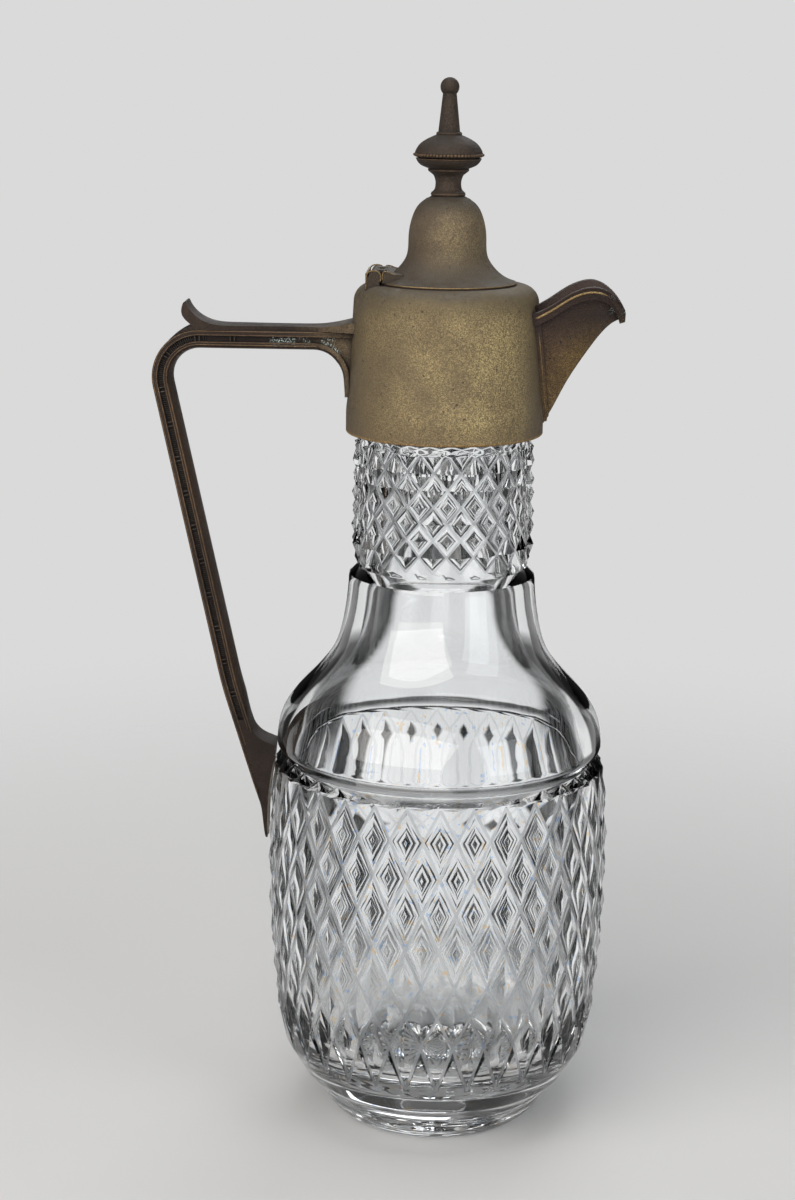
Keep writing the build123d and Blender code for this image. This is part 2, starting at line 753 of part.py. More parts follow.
def knuckle_spans():
    """Low and high Y of the knuckles, from the -Y end."""
    length = (hinge_length - (knuckle_count - 1) * knuckle_gap) / knuckle_count
    starts = [i * (length + knuckle_gap) - hinge_length / 2 for i in range(knuckle_count)]
    return [(start, start + length) for start in starts]


def hinge_lug():
    """Back plate with every other knuckle, soldered to the collar."""
    half = hinge_length / 2
    plate_x = hinge_x - knuckle_radius - hinge_clearance
    foot_z = collar_top_z - collar_shoulder_round
    lug = block((plate_x - lug_plate, -half, foot_z), (plate_x, half, collar_top_z + lug_plate_rise))
    for low_y, high_y in knuckle_spans()[::2]:
        lug += block((plate_x, low_y, foot_z), (hinge_x + knuckle_radius * 0.75, high_y, hinge_z))
        lug += barrel(knuckle_radius, low_y, high_y)
    lug -= barrel(pin_radius, -far, far)
    return lug - collar_plug()


def hinge_pin():
    """Pin through all the knuckles, held by those of the collar."""
    return barrel(pin_radius, -hinge_length / 2, hinge_length / 2)


def lid_hinge_leaf():
    """Leaf soldered to the lid, with the knuckles that turn on the pin."""
    half = hinge_length / 2
    leaf_x = hinge_x + knuckle_radius + hinge_clearance
    top_z = hinge_z + knuckle_radius
    end_x = -lid_dome_radius - leaf_run_in
    low_z = lid_z + lid_rim_edge
    flat_z = top_z - leaf_thickness
    outline = [
        (leaf_x, low_z, 0),
        (leaf_x, top_z, 0.5),
        (leaf_x + leaf_roll_length, flat_z, 2.0),
        (end_x, flat_z, 0),
        (end_x, low_z, 0),
    ]
    leaf = slab(closed_face(outline_edges(outline)), half)
    for low_y, high_y in knuckle_spans()[1::2]:
        leaf += barrel(knuckle_radius, low_y, high_y)
        leaf += block((hinge_x, low_y, flat_z), (leaf_x + leaf_run_in, high_y, top_z))
    leaf -= barrel(pin_radius + pin_clearance, -far, far)
    return leaf - lid_plug()


# ---------------------------------------------------------------- lid

def lid_cove():
    """Points (radius, z) from the edge of the rim up to the waist of the dome."""
    fall = lid_rim_radius - lid_dome_radius
    shares = [(1.0, 0.025), (0.566, 0.095), (0.15, 0.247), (0.0, 0.486)]
    return [(lid_dome_radius + fall * across, lid_z + lid_height * up) for across, up in shares]


def lid_crown():
    """Points (radius, z) from the waist of the dome up to its flat crown."""
    fall = lid_dome_radius - lid_crown_radius
    shares = [(0.0, 0.486), (0.093, 0.683), (0.222, 0.781), (0.426, 0.874), (0.61, 0.922),
              (0.87, 0.967), (1.0, 0.981)]
    return [(lid_dome_radius - fall * across, lid_z + lid_height * up) for across, up in shares]


def moved_in(points, distance):
    """The same points, moved square to the line they lie on, towards the inside of the lid."""
    moved = []
    for i, (r, z) in enumerate(points):
        before = points[max(i - 1, 0)]
        after = points[min(i + 1, len(points) - 1)]
        dr, dz = after[0] - before[0], after[1] - before[1]
        length = math.hypot(dr, dz)
        moved.append((r - distance * dz / length, z + distance * dr / length))
    return moved


def lid_outside():
    """Edges of the lid's outer profile from the rim to the axis."""
    cove = lid_cove()
    crown = lid_crown()
    rim = (lid_rim_radius, lid_z)
    top_corner = (spool_flange_radius, crown_z)
    edges = [line(rim, cove[0]), smooth(cove, (-1, 0.3), (0, 1)), smooth(crown, (0, 1), (-1, 0.2))]
    edges.append(line(crown[-1], top_corner))
    edges.append(line(top_corner, (0, crown_z)))
    return edges


def lid_plug():
    """The lid as a solid plug, for trimming what is soldered to it."""
    edges = lid_outside()
    edges.append(line((0, crown_z), (0, lid_z)))
    edges.append(line((0, lid_z), (lid_rim_radius, lid_z)))
    return revolve(closed_face(edges), axis=Axis.Z)


def lid_dome():
    """Bell-shaped lid of spun sheet with a flat rim, notched for the hinge."""
    hole = stud_radius + stud_clearance
    bezel_inner = bezel_radius - bezel_thickness
    path = moved_in(lid_cove()[1:] + lid_crown()[1:], lid_sheet)
    inner_top = (path[-1][0], crown_z - lid_sheet)
    inner = [(bezel_inner, lid_z), (bezel_inner, lid_z + bezel_seat)] + path[:-1] + [inner_top]
    edges = lid_outside()
    edges.append(line((0, crown_z), (0, inner_top[1])))
    edges.append(line((0, inner_top[1]), inner[-1]))
    edges.append(smooth(inner[:1:-1]))
    edges.append(line(inner[2], inner[1]))
    edges.append(line(inner[1], inner[0]))
    edges.append(line(inner[0], (lid_rim_radius, lid_z)))
    lid = revolve(closed_face(edges), axis=Axis.Z)
    lid -= Pos(0, 0, crown_z) * Cylinder(hole, far)
    half = hinge_length / 2 + hinge_clearance
    notch_x = hinge_x + knuckle_radius + hinge_clearance
    return lid - block((-far, -half, lid_z - far), (notch_x, half, lid_z + far))


def lid_bezel():
    """Ring under the lid that centres it in the opening of the collar."""
    low_z = lid_z - bezel_height
    low_r = bezel_radius - bezel_taper
    return turned([
        (bezel_radius, lid_z, 0), (low_r, low_z, bezel_round),
        (low_r - bezel_thickness, low_z, bezel_round), (bezel_radius - bezel_thickness, lid_z, 0)])


# ---------------------------------------------------------------- finial

def bored(piece):
    """A finial piece with the running hole for the stud."""
    return piece - Pos(0, 0, crown_z) * Cylinder(stud_radius + stud_clearance, far * 2)


def finial_washer():
    """Washer under the crown of the lid."""
    top = crown_z - lid_sheet
    return bored(Pos(0, 0, top - washer_height / 2) * Cylinder(washer_radius, washer_height))


def finial_nut():
    """Hexagon nut that draws the finial down on the lid."""
    low = crown_z - lid_sheet - washer_height - nut_height
    hexagon = RegularPolygon(nut_across / 2, 6, major_radius=False)
    nut = extrude(Pos(0, 0, low) * hexagon, amount=nut_height)
    return nut - Pos(0, 0, low) * Cylinder(stud_radius, far)


def finial_stud():
    """Threaded rod from the nut up into the spire."""
    low = crown_z - lid_sheet - washer_height - nut_height - stud_radius
    high = spire_z + spire_height * 0.5
    return Pos(0, 0, (low + high) / 2) * Cylinder(stud_radius, high - low)


def finial_spool():
    """Waisted spool with a flange that sits on the crown."""
    flange = spool_flange_radius
    z = crown_z
    h = spool_height
    ring = flange * 1.19
    corners = [
        (0, z, 0), (flange, z, 0.3), (flange, z + h * 0.13, 0.4), (flange * 0.79, z + h * 0.24, 2.0),
        (flange * 0.73, z + h * 0.52, spool_waist_round), (flange * 0.86, z + h * 0.76, spool_ring_round),
        (ring, z + h * 0.92, 0.3),
        (ring, z + h, 0), (0, z + h, 0)]
    return bored(turned(corners))


def finial_dish():
    """Saucer that opens upwards from the spool."""
    low, high = spool_top_z, dish_top_z
    ring = spool_flange_radius * 1.16
    return bored(turned([
        (0, low, 0), (ring, low, 0), (dish_radius * 0.94, low + dish_height * 0.42, dish_round),
        (dish_radius, high, 0), (0, high, 0)]))


def finial_cap():
    """Low dome with a rounded beaded edge and a collar for the spire."""
    z, h, r = cap_z, cap_height, cap_radius
    boss = r * 0.72
    step = r * 0.352
    edge_top = z + cap_edge_height
    return bored(turned([
        (0, dish_top_z, 0), (boss, dish_top_z, 0), (boss, z, 0),
        (r, z, cap_edge_round), (r, edge_top, cap_edge_round), (r * 0.955, edge_top, 0),
        (r * 0.785, z + h * 0.5, cap_dome_round), (step, z + h * 0.8, 0),
        (step, z + h * 0.89, 0.2), (spire_foot_radius, z + h * 0.93, 0), (spire_foot_radius, z + h, 0),
        (0, z + h, 0)]))


def finial_spire():
    """Tapered spire that ends in a ball."""
    top_z = spire_z + spire_height
    spire = turned([
        (0, spire_z, 0), (spire_foot_radius, spire_z, 0), (spire_foot_radius * 0.97, spire_z + 0.8, 0.5),
        (spire_top_radius, top_z, 0), (spire_top_radius * 0.9, ball_z, 0), (0, ball_z, 0)])
    spire += Pos(0, 0, ball_z) * Sphere(ball_radius)
    blind_top = spire_z + spire_height * 0.5
    bore_low = spire_z - 1.0
    depth = blind_top - bore_low
    return spire - Pos(0, 0, bore_low + depth / 2) * Cylinder(stud_radius + stud_clearance, depth)


# ---------------------------------------------------------------- the whole jug

PIECES = {
    "glass_body": glass_body,
    "plaster_bedding": plaster_bedding,
    "collar_shell": collar_shell,
    "collar_seat_ring": collar_seat_ring,
    "spout_body": spout_body,
    "spout_rim": spout_rim,
    "spout_joint_strip": spout_joint_strip,
    "handle_limb": handle_limb,
    "handle_thumb_strap": handle_thumb_strap,
    "handle_pad": handle_pad,
    "hinge_lug": hinge_lug,
    "hinge_pin": hinge_pin,
    "lid_dome": lid_dome,
    "lid_bezel": lid_bezel,
    "lid_hinge_leaf": lid_hinge_leaf,
    "finial_washer": finial_washer,
    "finial_nut": finial_nut,
    "finial_stud": finial_stud,
    "finial_spool": finial_spool,
    "finial_dish": finial_dish,
    "finial_cap": finial_cap,
    "finial_spire": finial_spire,
}

os.makedirs("parts", exist_ok=True)
for name, make in PIECES.items():
    export_step(make(), f"parts/{name}.step")
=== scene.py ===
import bpy
import json
import math
from mathutils import Matrix, Vector

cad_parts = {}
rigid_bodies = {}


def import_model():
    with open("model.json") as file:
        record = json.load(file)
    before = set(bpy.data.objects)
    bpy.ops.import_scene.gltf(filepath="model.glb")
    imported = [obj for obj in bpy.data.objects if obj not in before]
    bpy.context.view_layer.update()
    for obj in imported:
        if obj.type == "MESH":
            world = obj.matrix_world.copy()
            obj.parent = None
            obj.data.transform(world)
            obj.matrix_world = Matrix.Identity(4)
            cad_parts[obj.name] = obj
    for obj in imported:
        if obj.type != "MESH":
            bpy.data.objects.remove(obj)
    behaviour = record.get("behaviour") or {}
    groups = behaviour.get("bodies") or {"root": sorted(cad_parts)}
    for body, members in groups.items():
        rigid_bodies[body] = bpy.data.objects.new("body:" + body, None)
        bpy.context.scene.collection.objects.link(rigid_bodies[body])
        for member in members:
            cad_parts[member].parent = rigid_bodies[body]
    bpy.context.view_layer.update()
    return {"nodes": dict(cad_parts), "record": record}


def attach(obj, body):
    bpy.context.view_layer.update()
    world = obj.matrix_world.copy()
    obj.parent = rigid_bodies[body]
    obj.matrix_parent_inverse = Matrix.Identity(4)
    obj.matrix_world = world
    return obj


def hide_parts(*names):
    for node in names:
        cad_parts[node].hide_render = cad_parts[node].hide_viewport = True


# Claret jug: cut glass in brass mounts. Lengths are millimetres, which MM turns into metres. Metres
# stand where a name ends in _m or _M, in the table of lamps and in the patterns of the materials.
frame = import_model()
MM = 0.001
TURN = 2 * math.pi
FRONT = -math.pi / 2          # direction of -Y, which faces the camera


# ---------------------------------------------------------------- mesh helpers

class Shell:
    """Vertices and faces of one mesh. ground is 1 on the faces that the cutting wheel left matt."""

    def __init__(self):
        self.verts = []
        self.faces = []
        self.smooth = []
        self.ground = []

    def point(self, x, y, z):
        self.verts.append((x * MM, y * MM, z * MM))
        return len(self.verts) - 1

    def face(self, ids, smooth=True, ground=0.0):
        ids = [v for i, v in enumerate(ids) if v != ids[i - 1]]
        if len(ids) > 2:
            self.faces.append(ids)
            self.smooth.append(smooth)
            self.ground.append(ground)

    def make(self, name, sharp_degrees=None):
        mesh = bpy.data.meshes.new(name)
        mesh.from_pydata(self.verts, [], self.faces)
        mesh.polygons.foreach_set("use_smooth", self.smooth)
        if any(self.ground):
            mesh.attributes.new("ground", "FLOAT", "FACE").data.foreach_set("value", self.ground)
        if sharp_degrees is not None:
            mesh.set_sharp_from_angle(angle=math.radians(sharp_degrees))
        mesh.update()
        obj = bpy.data.objects.new(name, mesh)
        bpy.context.scene.collection.objects.link(obj)
        return obj


class Ring:
    """A closed ring of vertices round Z: angles that rise, with a vertex at each."""

    def __init__(self, angles, ids):
        order = sorted(range(len(angles)), key=lambda i: angles[i] % TURN)
        self.angles = [angles[i] % TURN for i in order]
        self.ids = [ids[i] for i in order]


def ring(shell, count, radius, z):
    """An even ring of vertices."""
    angles = [TURN * i / count for i in range(count)]
    ids = [shell.point(radius * math.cos(a), radius * math.sin(a), z) for a in angles]
    return Ring(angles, ids)


def bridge(shell, low, high, smooth=True):
    """Faces between two rings. Seen from outside, high lies above low."""
    n, m = len(low.ids), len(high.ids)
    if n == m and all(abs(a - b) < 1e-6 for a, b in zip(low.angles, high.angles)):
        for i in range(n):
            k = (i + 1) % n
            shell.face([low.ids[i], low.ids[k], high.ids[k], high.ids[i]], smooth)
        return
    i = j = 0
    while i < n or j < m:
        next_low = low.angles[(i + 1) % n] + (TURN if i + 1 >= n else 0)
        next_high = high.angles[(j + 1) % m] + (TURN if j + 1 >= m else 0)
        a, b = low.ids[i % n], high.ids[j % m]
        if j >= m or (i < n and next_low <= next_high):
            shell.face([a, low.ids[(i + 1) % n], b], smooth)
            i += 1
        else:
            shell.face([a, high.ids[(j + 1) % m], b], smooth)
            j += 1


def lathe(shell, profile, count, start=None):
    """Even rings along (radius, z) points, bridged to one another and to the ring start."""
    last = start
    for radius, z in profile:
        fresh = ring(shell, count, radius, z)
        if last is not None:
            bridge(shell, last, fresh)
        last = fresh
    return last


def fan(shell, edge, z, smooth=True, up=True):
    """Closes a ring with a point on the axis at height z, facing up or down."""
    centre = shell.point(0, 0, z)
    count = len(edge.ids)
    for i in range(count):
        ids = [edge.ids[i], edge.ids[(i + 1) % count], centre]
        shell.face(ids if up else ids[::-1], smooth)


def catmull_rom(a, b, c, d, t):
    """Value at the share t of the span from b to c."""
    bend = (2 * a - 5 * b + 4 * c - d) * t ** 2 + (3 * b - a - 3 * c + d) * t ** 3
    return 0.5 * (2 * b + (c - a) * t + bend)


def spline(points, steps):
    """Smooth points through the given ones, steps to each span."""
    out = []
    last = len(points) - 1
    for i in range(last):
        near = points[max(i - 1, 0)], points[i], points[i + 1], points[min(i + 2, last)]
        out += [tuple(catmull_rom(*four, k / steps) for four in zip(*near)) for k in range(steps)]
    out.append(tuple(points[last]))
    return out


def interpolate(table, z):
    """Radius at height z in a table of (radius, z) that rises in z."""
    for (r0, z0), (r1, z1) in zip(table, table[1:]):
        if z <= z1:
            return r0 + (r1 - r0) * (z - z0) / (z1 - z0)
    return table[-1][0]


def both_sides(points):
    """Points (x, y, z) that end on the middle plane, carried on over its other side."""
    return points + [(x, -y, z) for x, y, z in points[-2::-1]]


def circle(radius, z, count):
    """Even points round the axis."""
    turns = [TURN * k / count for k in range(count)]
    return [(radius * math.cos(t), radius * math.sin(t), z) for t in turns]


# ---------------------------------------------------------------- cut glass

FLAT_SHARE = 0.86             # how much of an uncut half-diamond stays flat
FLAT_SINK = 0.15


def cut_band(shell, table, rows, columns, phase, depth, keep, end_depths, plain_low=False):
    """Diamond cutting between rows of groove crossings. Gives its lower and its upper ring.

    table gives the radius over the points of the diamonds; rows are the heights of the crossings,
    from the lowest; keep is the share of a diamond left by the floor of the grooves; end_depths are
    the depths of the grooves at the first and the last row; plain_low leaves the half-diamonds of
    the lowest row uncut."""
    step = TURN / columns
    last = len(rows) - 1

    def groove(j):
        return end_depths[0] if j == 0 else end_depths[1] if j == last else depth

    def add(angle, z, sink):
        r = interpolate(table, z) - sink
        return shell.point(r * math.cos(angle), r * math.sin(angle), z)

    # A diamond has its corners L, R, T and B at the grooves and its point at O; U ends the flat
    cells = {}
    for j, z in enumerate(rows):
        for i in range(columns):
            a = phase + (i + 0.5 + 0.5 * (j % 2)) * step
            side = groove(j)
            cell = {
                "a": a,
                "L": add(a - keep * step / 2, z, side),
                "R": add(a + keep * step / 2, z, side),
            }
            if j < last:
                up = rows[j + 1] - z
                cell["T"] = add(a, z + keep * up, side + (groove(j + 1) - side) * keep)
            if j > 0:
                down = z - rows[j - 1]
                cell["B"] = add(a, z - keep * down, side + (groove(j - 1) - side) * keep)
            cell["O"] = add(a, z, 0.0)
            if j == 0 and plain_low:
                cell["U"] = add(a, z + keep * FLAT_SHARE * up, FLAT_SINK)
            cells[j, i] = cell

    def cell_at(j, angle):
        return cells[j, round((angle - phase) / step - 0.5 - 0.5 * (j % 2)) % columns]

    for (j, _), c in cells.items():
        if j == 0 and plain_low:
            shell.face([c["L"], c["O"], c["U"]], True)
            shell.face([c["O"], c["R"], c["U"]], True)
            shell.face([c["R"], c["T"], c["U"]], False)
            shell.face([c["T"], c["L"], c["U"]], False)
        else:
            if "B" in c:
                shell.face([c["O"], c["B"], c["R"]], False)
                shell.face([c["O"], c["L"], c["B"]], False)
            if "T" in c:
                shell.face([c["O"], c["R"], c["T"]], False)
                shell.face([c["O"], c["T"], c["L"]], False)
        crossing = [c["R"]]
        if j > 0:
            crossing.append(cell_at(j - 1, c["a"] + step / 2)["T"])
        crossing.append(cell_at(j, c["a"] + step)["L"])
        if j < last:
            right = cell_at(j + 1, c["a"] + step / 2)
            left = cell_at(j + 1, c["a"] - step / 2)
            shell.face([c["R"], right["B"], right["L"], c["T"]], False, 1.0)
            shell.face([c["T"], left["R"], left["B"], c["L"]], False, 1.0)
            crossing.append(right["B"])
        shell.face(crossing, False, 1.0)

    rings = []
    for j in (0, last):
        angles, ids = [], []
        for i in range(columns):
            c = cells[j, i]
            for key, offset in (("L", -keep * step / 2), ("O", 0.0), ("R", keep * step / 2)):
                angles.append(c["a"] + offset)
                ids.append(c[key])
        rings.append(Ring(angles, ids))
    return rings


ROUND = 192                   # vertices round a smooth ring

# The vessel's outline as (radius, height), from the foot up to the mouth and down inside
FOOT_RING = [(27.4, 0.0), (28.4, 0.0)]
FOOT_CURVE = [(28.9, 0.25), (29.9, 1.0), (31.1, 2.0), (32.0, 3.0), (32.8, 4.0), (33.4, 5.4), (34.1, 6.8)]
FOOT_STEP = [(34.4, 7.5), (34.5, 8.1), (34.9, 8.7), (37.0, 10.7), (39.2, 12.6), (39.7, 13.1), (40.1, 13.7)]
BOWL_CURVE = [(40.9, 15.0), (42.9, 18.3), (44.6, 21.2)]
BELLY = [(45.0, 22.0), (46.3, 26.0), (47.7, 33.0), (48.4, 40.0), (49.0, 47.0), (49.6, 53.0), (50.0, 60.0),
         (50.35, 72.0), (50.4, 80.0), (50.3, 88.0), (49.95, 97.0), (49.5, 103.0), (48.6, 107.2)]
RING_GROOVE = [(47.9, 107.9), (46.6, 108.4), (45.1, 109.1), (44.8, 109.5), (44.9, 110.0), (46.6, 112.2),
               (47.3, 113.0), (47.6, 113.6)]
SHOULDER = [(47.7, 114.5), (47.5, 117.5), (46.8, 121.0), (45.3, 124.5), (42.9, 128.0), (40.0, 131.2),
            (36.4, 135.0), (33.0, 139.2), (30.3, 144.0), (28.5, 150.6), (27.4, 158.0), (27.0, 163.6)]
NECK_STEP = [(26.8, 164.4), (26.2, 164.9), (24.9, 166.4), (24.6, 167.0), (24.7, 167.7)]
NECK = [(25.4, 169.0), (26.3, 171.5), (26.5, 174.0), (26.4, 185.0), (26.1, 200.0), (25.9, 202.3)]
MOUTH = [(24.9, 203.2), (24.6, 203.9), (24.5, 205.0), (24.5, 226.6), (24.2, 227.5), (23.4, 228.0),
         (22.0, 228.1), (21.0, 227.6), (20.6, 226.6)]
INSIDE = [(20.5, 226.0), (20.5, 200.0), (20.5, 172.0), (20.8, 160.0), (22.2, 150.0), (24.6, 143.0),
          (27.8, 137.6), (31.5, 132.9), (35.5, 128.4), (38.9, 123.8), (41.0, 118.5), (42.0, 112.0),
          (42.9, 103.0), (43.4, 92.0), (43.4, 80.0), (43.0, 66.0), (42.3, 52.0), (41.2, 40.0),
          (38.8, 29.5), (34.5, 22.4), (27.5, 18.4), (18.0, 17.5)]
INSIDE_FLOOR_Z = 17.4
INSIDE_FLOOR = [(9.0, INSIDE_FLOOR_Z), (3.0, INSIDE_FLOOR_Z)]

# The star under the foot: radius, height of its ridges and height of its valleys
STAR_RAYS = 24
STAR = [(3.0, 3.3, 3.7), (11.0, 2.0, 3.5), (19.5, 0.7, 2.4), (26.6, 0.0, 0.5)]
STAR_CENTRE_Z = 3.6

BELLY_ROWS = [22.0, 35.8, 45.0, 54.5, 65.8, 76.7, 87.3, 97.9, 107.2]
BELLY_CUT = {
    "columns": 32, "phase": FRONT + math.radians(2.0), "depth": 1.6, "keep": 0.9,
    "end_depths": (0.0, 0.8), "plain_low": True,
}
NECK_COLUMNS = 20
NECK_ROW_PITCH = 4.757
NECK_ROWS = [202.3 - NECK_ROW_PITCH * k for k in range(7, -1, -1)]
NECK_CUT = {
    "columns": NECK_COLUMNS, "phase": FRONT + math.radians(3.8) + TURN / (2 * NECK_COLUMNS), "depth": 1.75,
    "keep": 0.89, "end_depths": (0.7, 0.9),
}


def cut_star(shell):
    """The star under the foot. Gives its outer ring."""
    rings = []
    points = 2 * STAR_RAYS
    for radius, ridge, valley in STAR:
        angles = [FRONT + TURN * (i + 0.5) / points for i in range(points)]
        ids = [shell.point(radius * math.cos(a), radius * math.sin(a), valley if i % 2 else ridge)
               for i, a in enumerate(angles)]
        rings.append(Ring(angles, ids))
    fan(shell, rings[0], STAR_CENTRE_Z, smooth=False, up=False)
    for low, high in zip(rings, rings[1:]):
        bridge(shell, low, high, False)
    return rings[-1]


def glass_jug():
    """The vessel: star-cut foot, cut belly, ring groove, clear shoulder, cut neck and hollow."""
    shell = Shell()
    foot = FOOT_RING + spline(FOOT_CURVE, 2) + FOOT_STEP + spline(BOWL_CURVE, 2)
    below = lathe(shell, foot, ROUND, cut_star(shell))
    low, high = cut_band(shell, BELLY, BELLY_ROWS, **BELLY_CUT)
    bridge(shell, below, low)
    above = lathe(shell, RING_GROOVE + spline(SHOULDER, 3) + NECK_STEP, ROUND, high)
    low, high = cut_band(shell, NECK, NECK_ROWS, **NECK_CUT)
    bridge(shell, above, low)
    bottom = lathe(shell, MOUTH + spline(INSIDE, 2) + INSIDE_FLOOR, ROUND, high)
    fan(shell, bottom, INSIDE_FLOOR_Z)
    return shell.make("cut_glass", sharp_degrees=32)


# ---------------------------------------------------------------- wires and side-view routes

def tube(shell, points, radius, sides=8, closed=False):
    """A round wire along points; its ends are capped unless it closes on itself.

    radius is one number, or a list with one for each point."""
    places = [Vector(p) for p in points]
    count = len(places)
    rings = []
    across = None
    for i, place in enumerate(places):
        before = places[i - 1] if closed or i else places[0]
        after = places[(i + 1) % count] if closed or i + 1 < count else places[-1]
        way = (after - before).normalized()
        if across is None:
            across = way.orthogonal().normalized()
        across = (across - way * across.dot(way)).normalized()
        over = way.cross(across)
        size = radius[i] if isinstance(radius, list) else radius
        ids = []
        for k in range(sides):
            turn = TURN * k / sides
            spot = place + (across * math.cos(turn) + over * math.sin(turn)) * size
            ids.append(shell.point(*spot))
        rings.append(ids)
    spans = list(zip(rings, rings[1:]))
    if closed:
        spans.append((rings[-1], rings[0]))
    for a, b in spans:
        for k in range(sides):
            n = (k + 1) % sides
            shell.face([a[k], a[n], b[n], b[k]])
    if not closed:
        shell.face(rings[0][::-1], False)
        shell.face(rings[-1], False)


def route(pieces, pitch):
    """Even places (x, z, nx, nz) along lines and curves of the side view; n points to the left."""
    places = []
    for kind, a, b, *angles in pieces:
        if kind == "line":
            length = math.hypot(b[0] - a[0], b[1] - a[1])
            nx, nz = (a[1] - b[1]) / length, (b[0] - a[0]) / length
            steps = max(1, round(length / pitch))
            run = [(a[0] + (b[0] - a[0]) * k / steps, a[1] + (b[1] - a[1]) * k / steps, nx, nz)
                   for k in range(steps + 1)]
        else:
            start, stop = math.radians(angles[0]), math.radians(angles[1])
            steps = max(1, round((stop - start) * b / pitch))
            turns = [start + (stop - start) * k / steps for k in range(steps + 1)]
            run = [(a[0] + b * math.cos(t), a[1] + b * math.sin(t), -math.cos(t), -math.sin(t))
                   for t in turns]
        places += run if not places else run[1:]
    return places


def carry(shell, places, section, grow):
    """A closed section of (y, depth) points carried along places; grow(share) scales its depth."""
    last = None
    for i, (x, z, nx, nz) in enumerate(places):
        size = grow(i / (len(places) - 1))
        ids = [shell.point(x + nx * d * size, y, z + nz * d * size) for y, d in section]
        if last is None:
            shell.face(ids[::-1], False)
        else:
            for k in range(len(ids)):
                n = (k + 1) % len(ids)
                shell.face([last[k], last[n], ids[n], ids[k]])
        last = ids
    shell.face(last, False)


# ---------------------------------------------------------------- handle

ARM_Z = 234.2                 # top of the handle's arm
CORNER = (-69.8, 220.6)       # centre of the handle's corner
CORNER_RADIUS = 13.6
LEAN = 12.4                   # degrees off the upright, above and below the bend of the limb
LOWER_LEAN = 17.3
KNEE = (52.3, 160.77)         # centre of the slight bend of the limb
KNEE_RADIUS = 120.0
HALF_WIDTH = 5.0
CHANNEL_HALF_WIDTH = 3.86     # from the middle plane to the floor of the channel in each side
CHANNEL_DEPTH = 2.4           # from the outer face to the middle of the channel
CHANNEL_X = -59.2             # where the ribs of the channel start
THROAT_Z = 119.0              # where the limb widens into its foot
ROLL_DEPTH = 4.4              # from the outer face to the roll on the inner one
ROLL_HALF_WIDTH, ROLL_RISE, ROLL_BACK = 4.65, 1.15, -0.25    # its section: out, up and into the limb
ROLL_TAPERS = (0.07, 0.05)    # how much of its length it takes to swell from either end
BRACKET_X = -28.37            # inner face of the bracket, at the collar
BRACKET_FOOT_Z = 216.2
BRACKET_RADIUS = 9.0

# Depth inside the outer face, x of the start, z of the end, and radius of each raised line
HANDLE_LINES = [(0.3, -29.0, 97.0, 0.2), (1.35, -29.0, 112.0, 0.15), (3.45, -36.0, 117.0, 0.14),
                (4.15, -36.0, 116.0, 0.2)]


def limb_pieces(depth, start_x, end_z):
    """The handle's line at a depth inside its outer face, from the arm down the limb."""
    radius = CORNER_RADIUS - depth
    turned, lower = math.radians(180 + LEAN), math.radians(180 + LOWER_LEAN)
    top = (CORNER[0] + radius * math.cos(turned), CORNER[1] + radius * math.sin(turned))
    bend = KNEE_RADIUS - depth
    above = (KNEE[0] + bend * math.cos(turned), KNEE[1] + bend * math.sin(turned))
    below = (KNEE[0] + bend * math.cos(lower), KNEE[1] + bend * math.sin(lower))
    slope = math.tan(math.radians(LOWER_LEAN))
    end = (below[0] + (below[1] - end_z) * slope, end_z)
    return [
        ("line", (start_x, ARM_Z - depth), (CORNER[0], ARM_Z - depth)),
        ("curve", CORNER, radius, 90, 180 + LEAN),
        ("line", top, above),
        ("curve", KNEE, bend, 180 + LEAN, 180 + LOWER_LEAN),
        ("line", below, end),
    ]


def handle_roll():
    """The rounded inner face of the handle, from the bracket round the corner to the throat."""
    centre = (BRACKET_X - BRACKET_RADIUS, ARM_Z - ROLL_DEPTH - BRACKET_RADIUS)
    pieces = [("line", (BRACKET_X, BRACKET_FOOT_Z), (BRACKET_X, centre[1])),
              ("curve", centre, BRACKET_RADIUS, 0, 90)]
    pieces += limb_pieces(ROLL_DEPTH, centre[0], THROAT_Z)
    section = [(ROLL_HALF_WIDTH * math.cos(t), ROLL_RISE * math.sin(t))
               for t in (math.pi * k / 12 for k in range(13))]
    section += [(-ROLL_HALF_WIDTH, ROLL_BACK), (ROLL_HALF_WIDTH, ROLL_BACK)]
    start, end = ROLL_TAPERS
    shell = Shell()
    carry(shell, route(pieces, 1.2), section, lambda t: min(1.0, 0.1 + t / start, 0.1 + (1 - t) / end))
    return shell.make("handle_roll", sharp_degrees=40)


def cross_rib(shell, place, side, reach, half, rise):
    """A small rib across the channel in one side of the handle."""
    x, z, nx, nz = place
    hx, hz = nz, -nx
    profile = [(-half, 0.0), (-half * 0.5, rise), (half * 0.5, rise), (half, 0.0)]
    ends = []
    for depth in (-reach, reach):
        ids = [shell.point(x + nx * depth + hx * off, side * (CHANNEL_HALF_WIDTH + up),
                           z + nz * depth + hz * off) for off, up in profile]
        ends.append(ids if side < 0 else ids[::-1])
    a, b = ends
    for k in range(4):
        n = (k + 1) % 4
        shell.face([a[k], a[n], b[n], b[k]], False)
    shell.face(a[::-1], False)
    shell.face(b, False)


def handle_ribs():
    """Fine ribs across the channel, with a bold pair about every ten millimetres."""
    shell = Shell()
    pitch, group = 0.6, 17
    bold, bare = (1, 3), (0, 2, 4)
    plain_start = 14
    for side in (-1, 1):
        for i, place in enumerate(route(limb_pieces(CHANNEL_DEPTH, CHANNEL_X, THROAT_Z), pitch)):
            if i % group in bold:
                cross_rib(shell, place, side, 0.82, 0.26, 0.8)
            elif i % group not in bare and i > plain_start:
                cross_rib(shell, place, side, 0.8, 0.17, 0.34)
    return shell.make("handle_ribs")


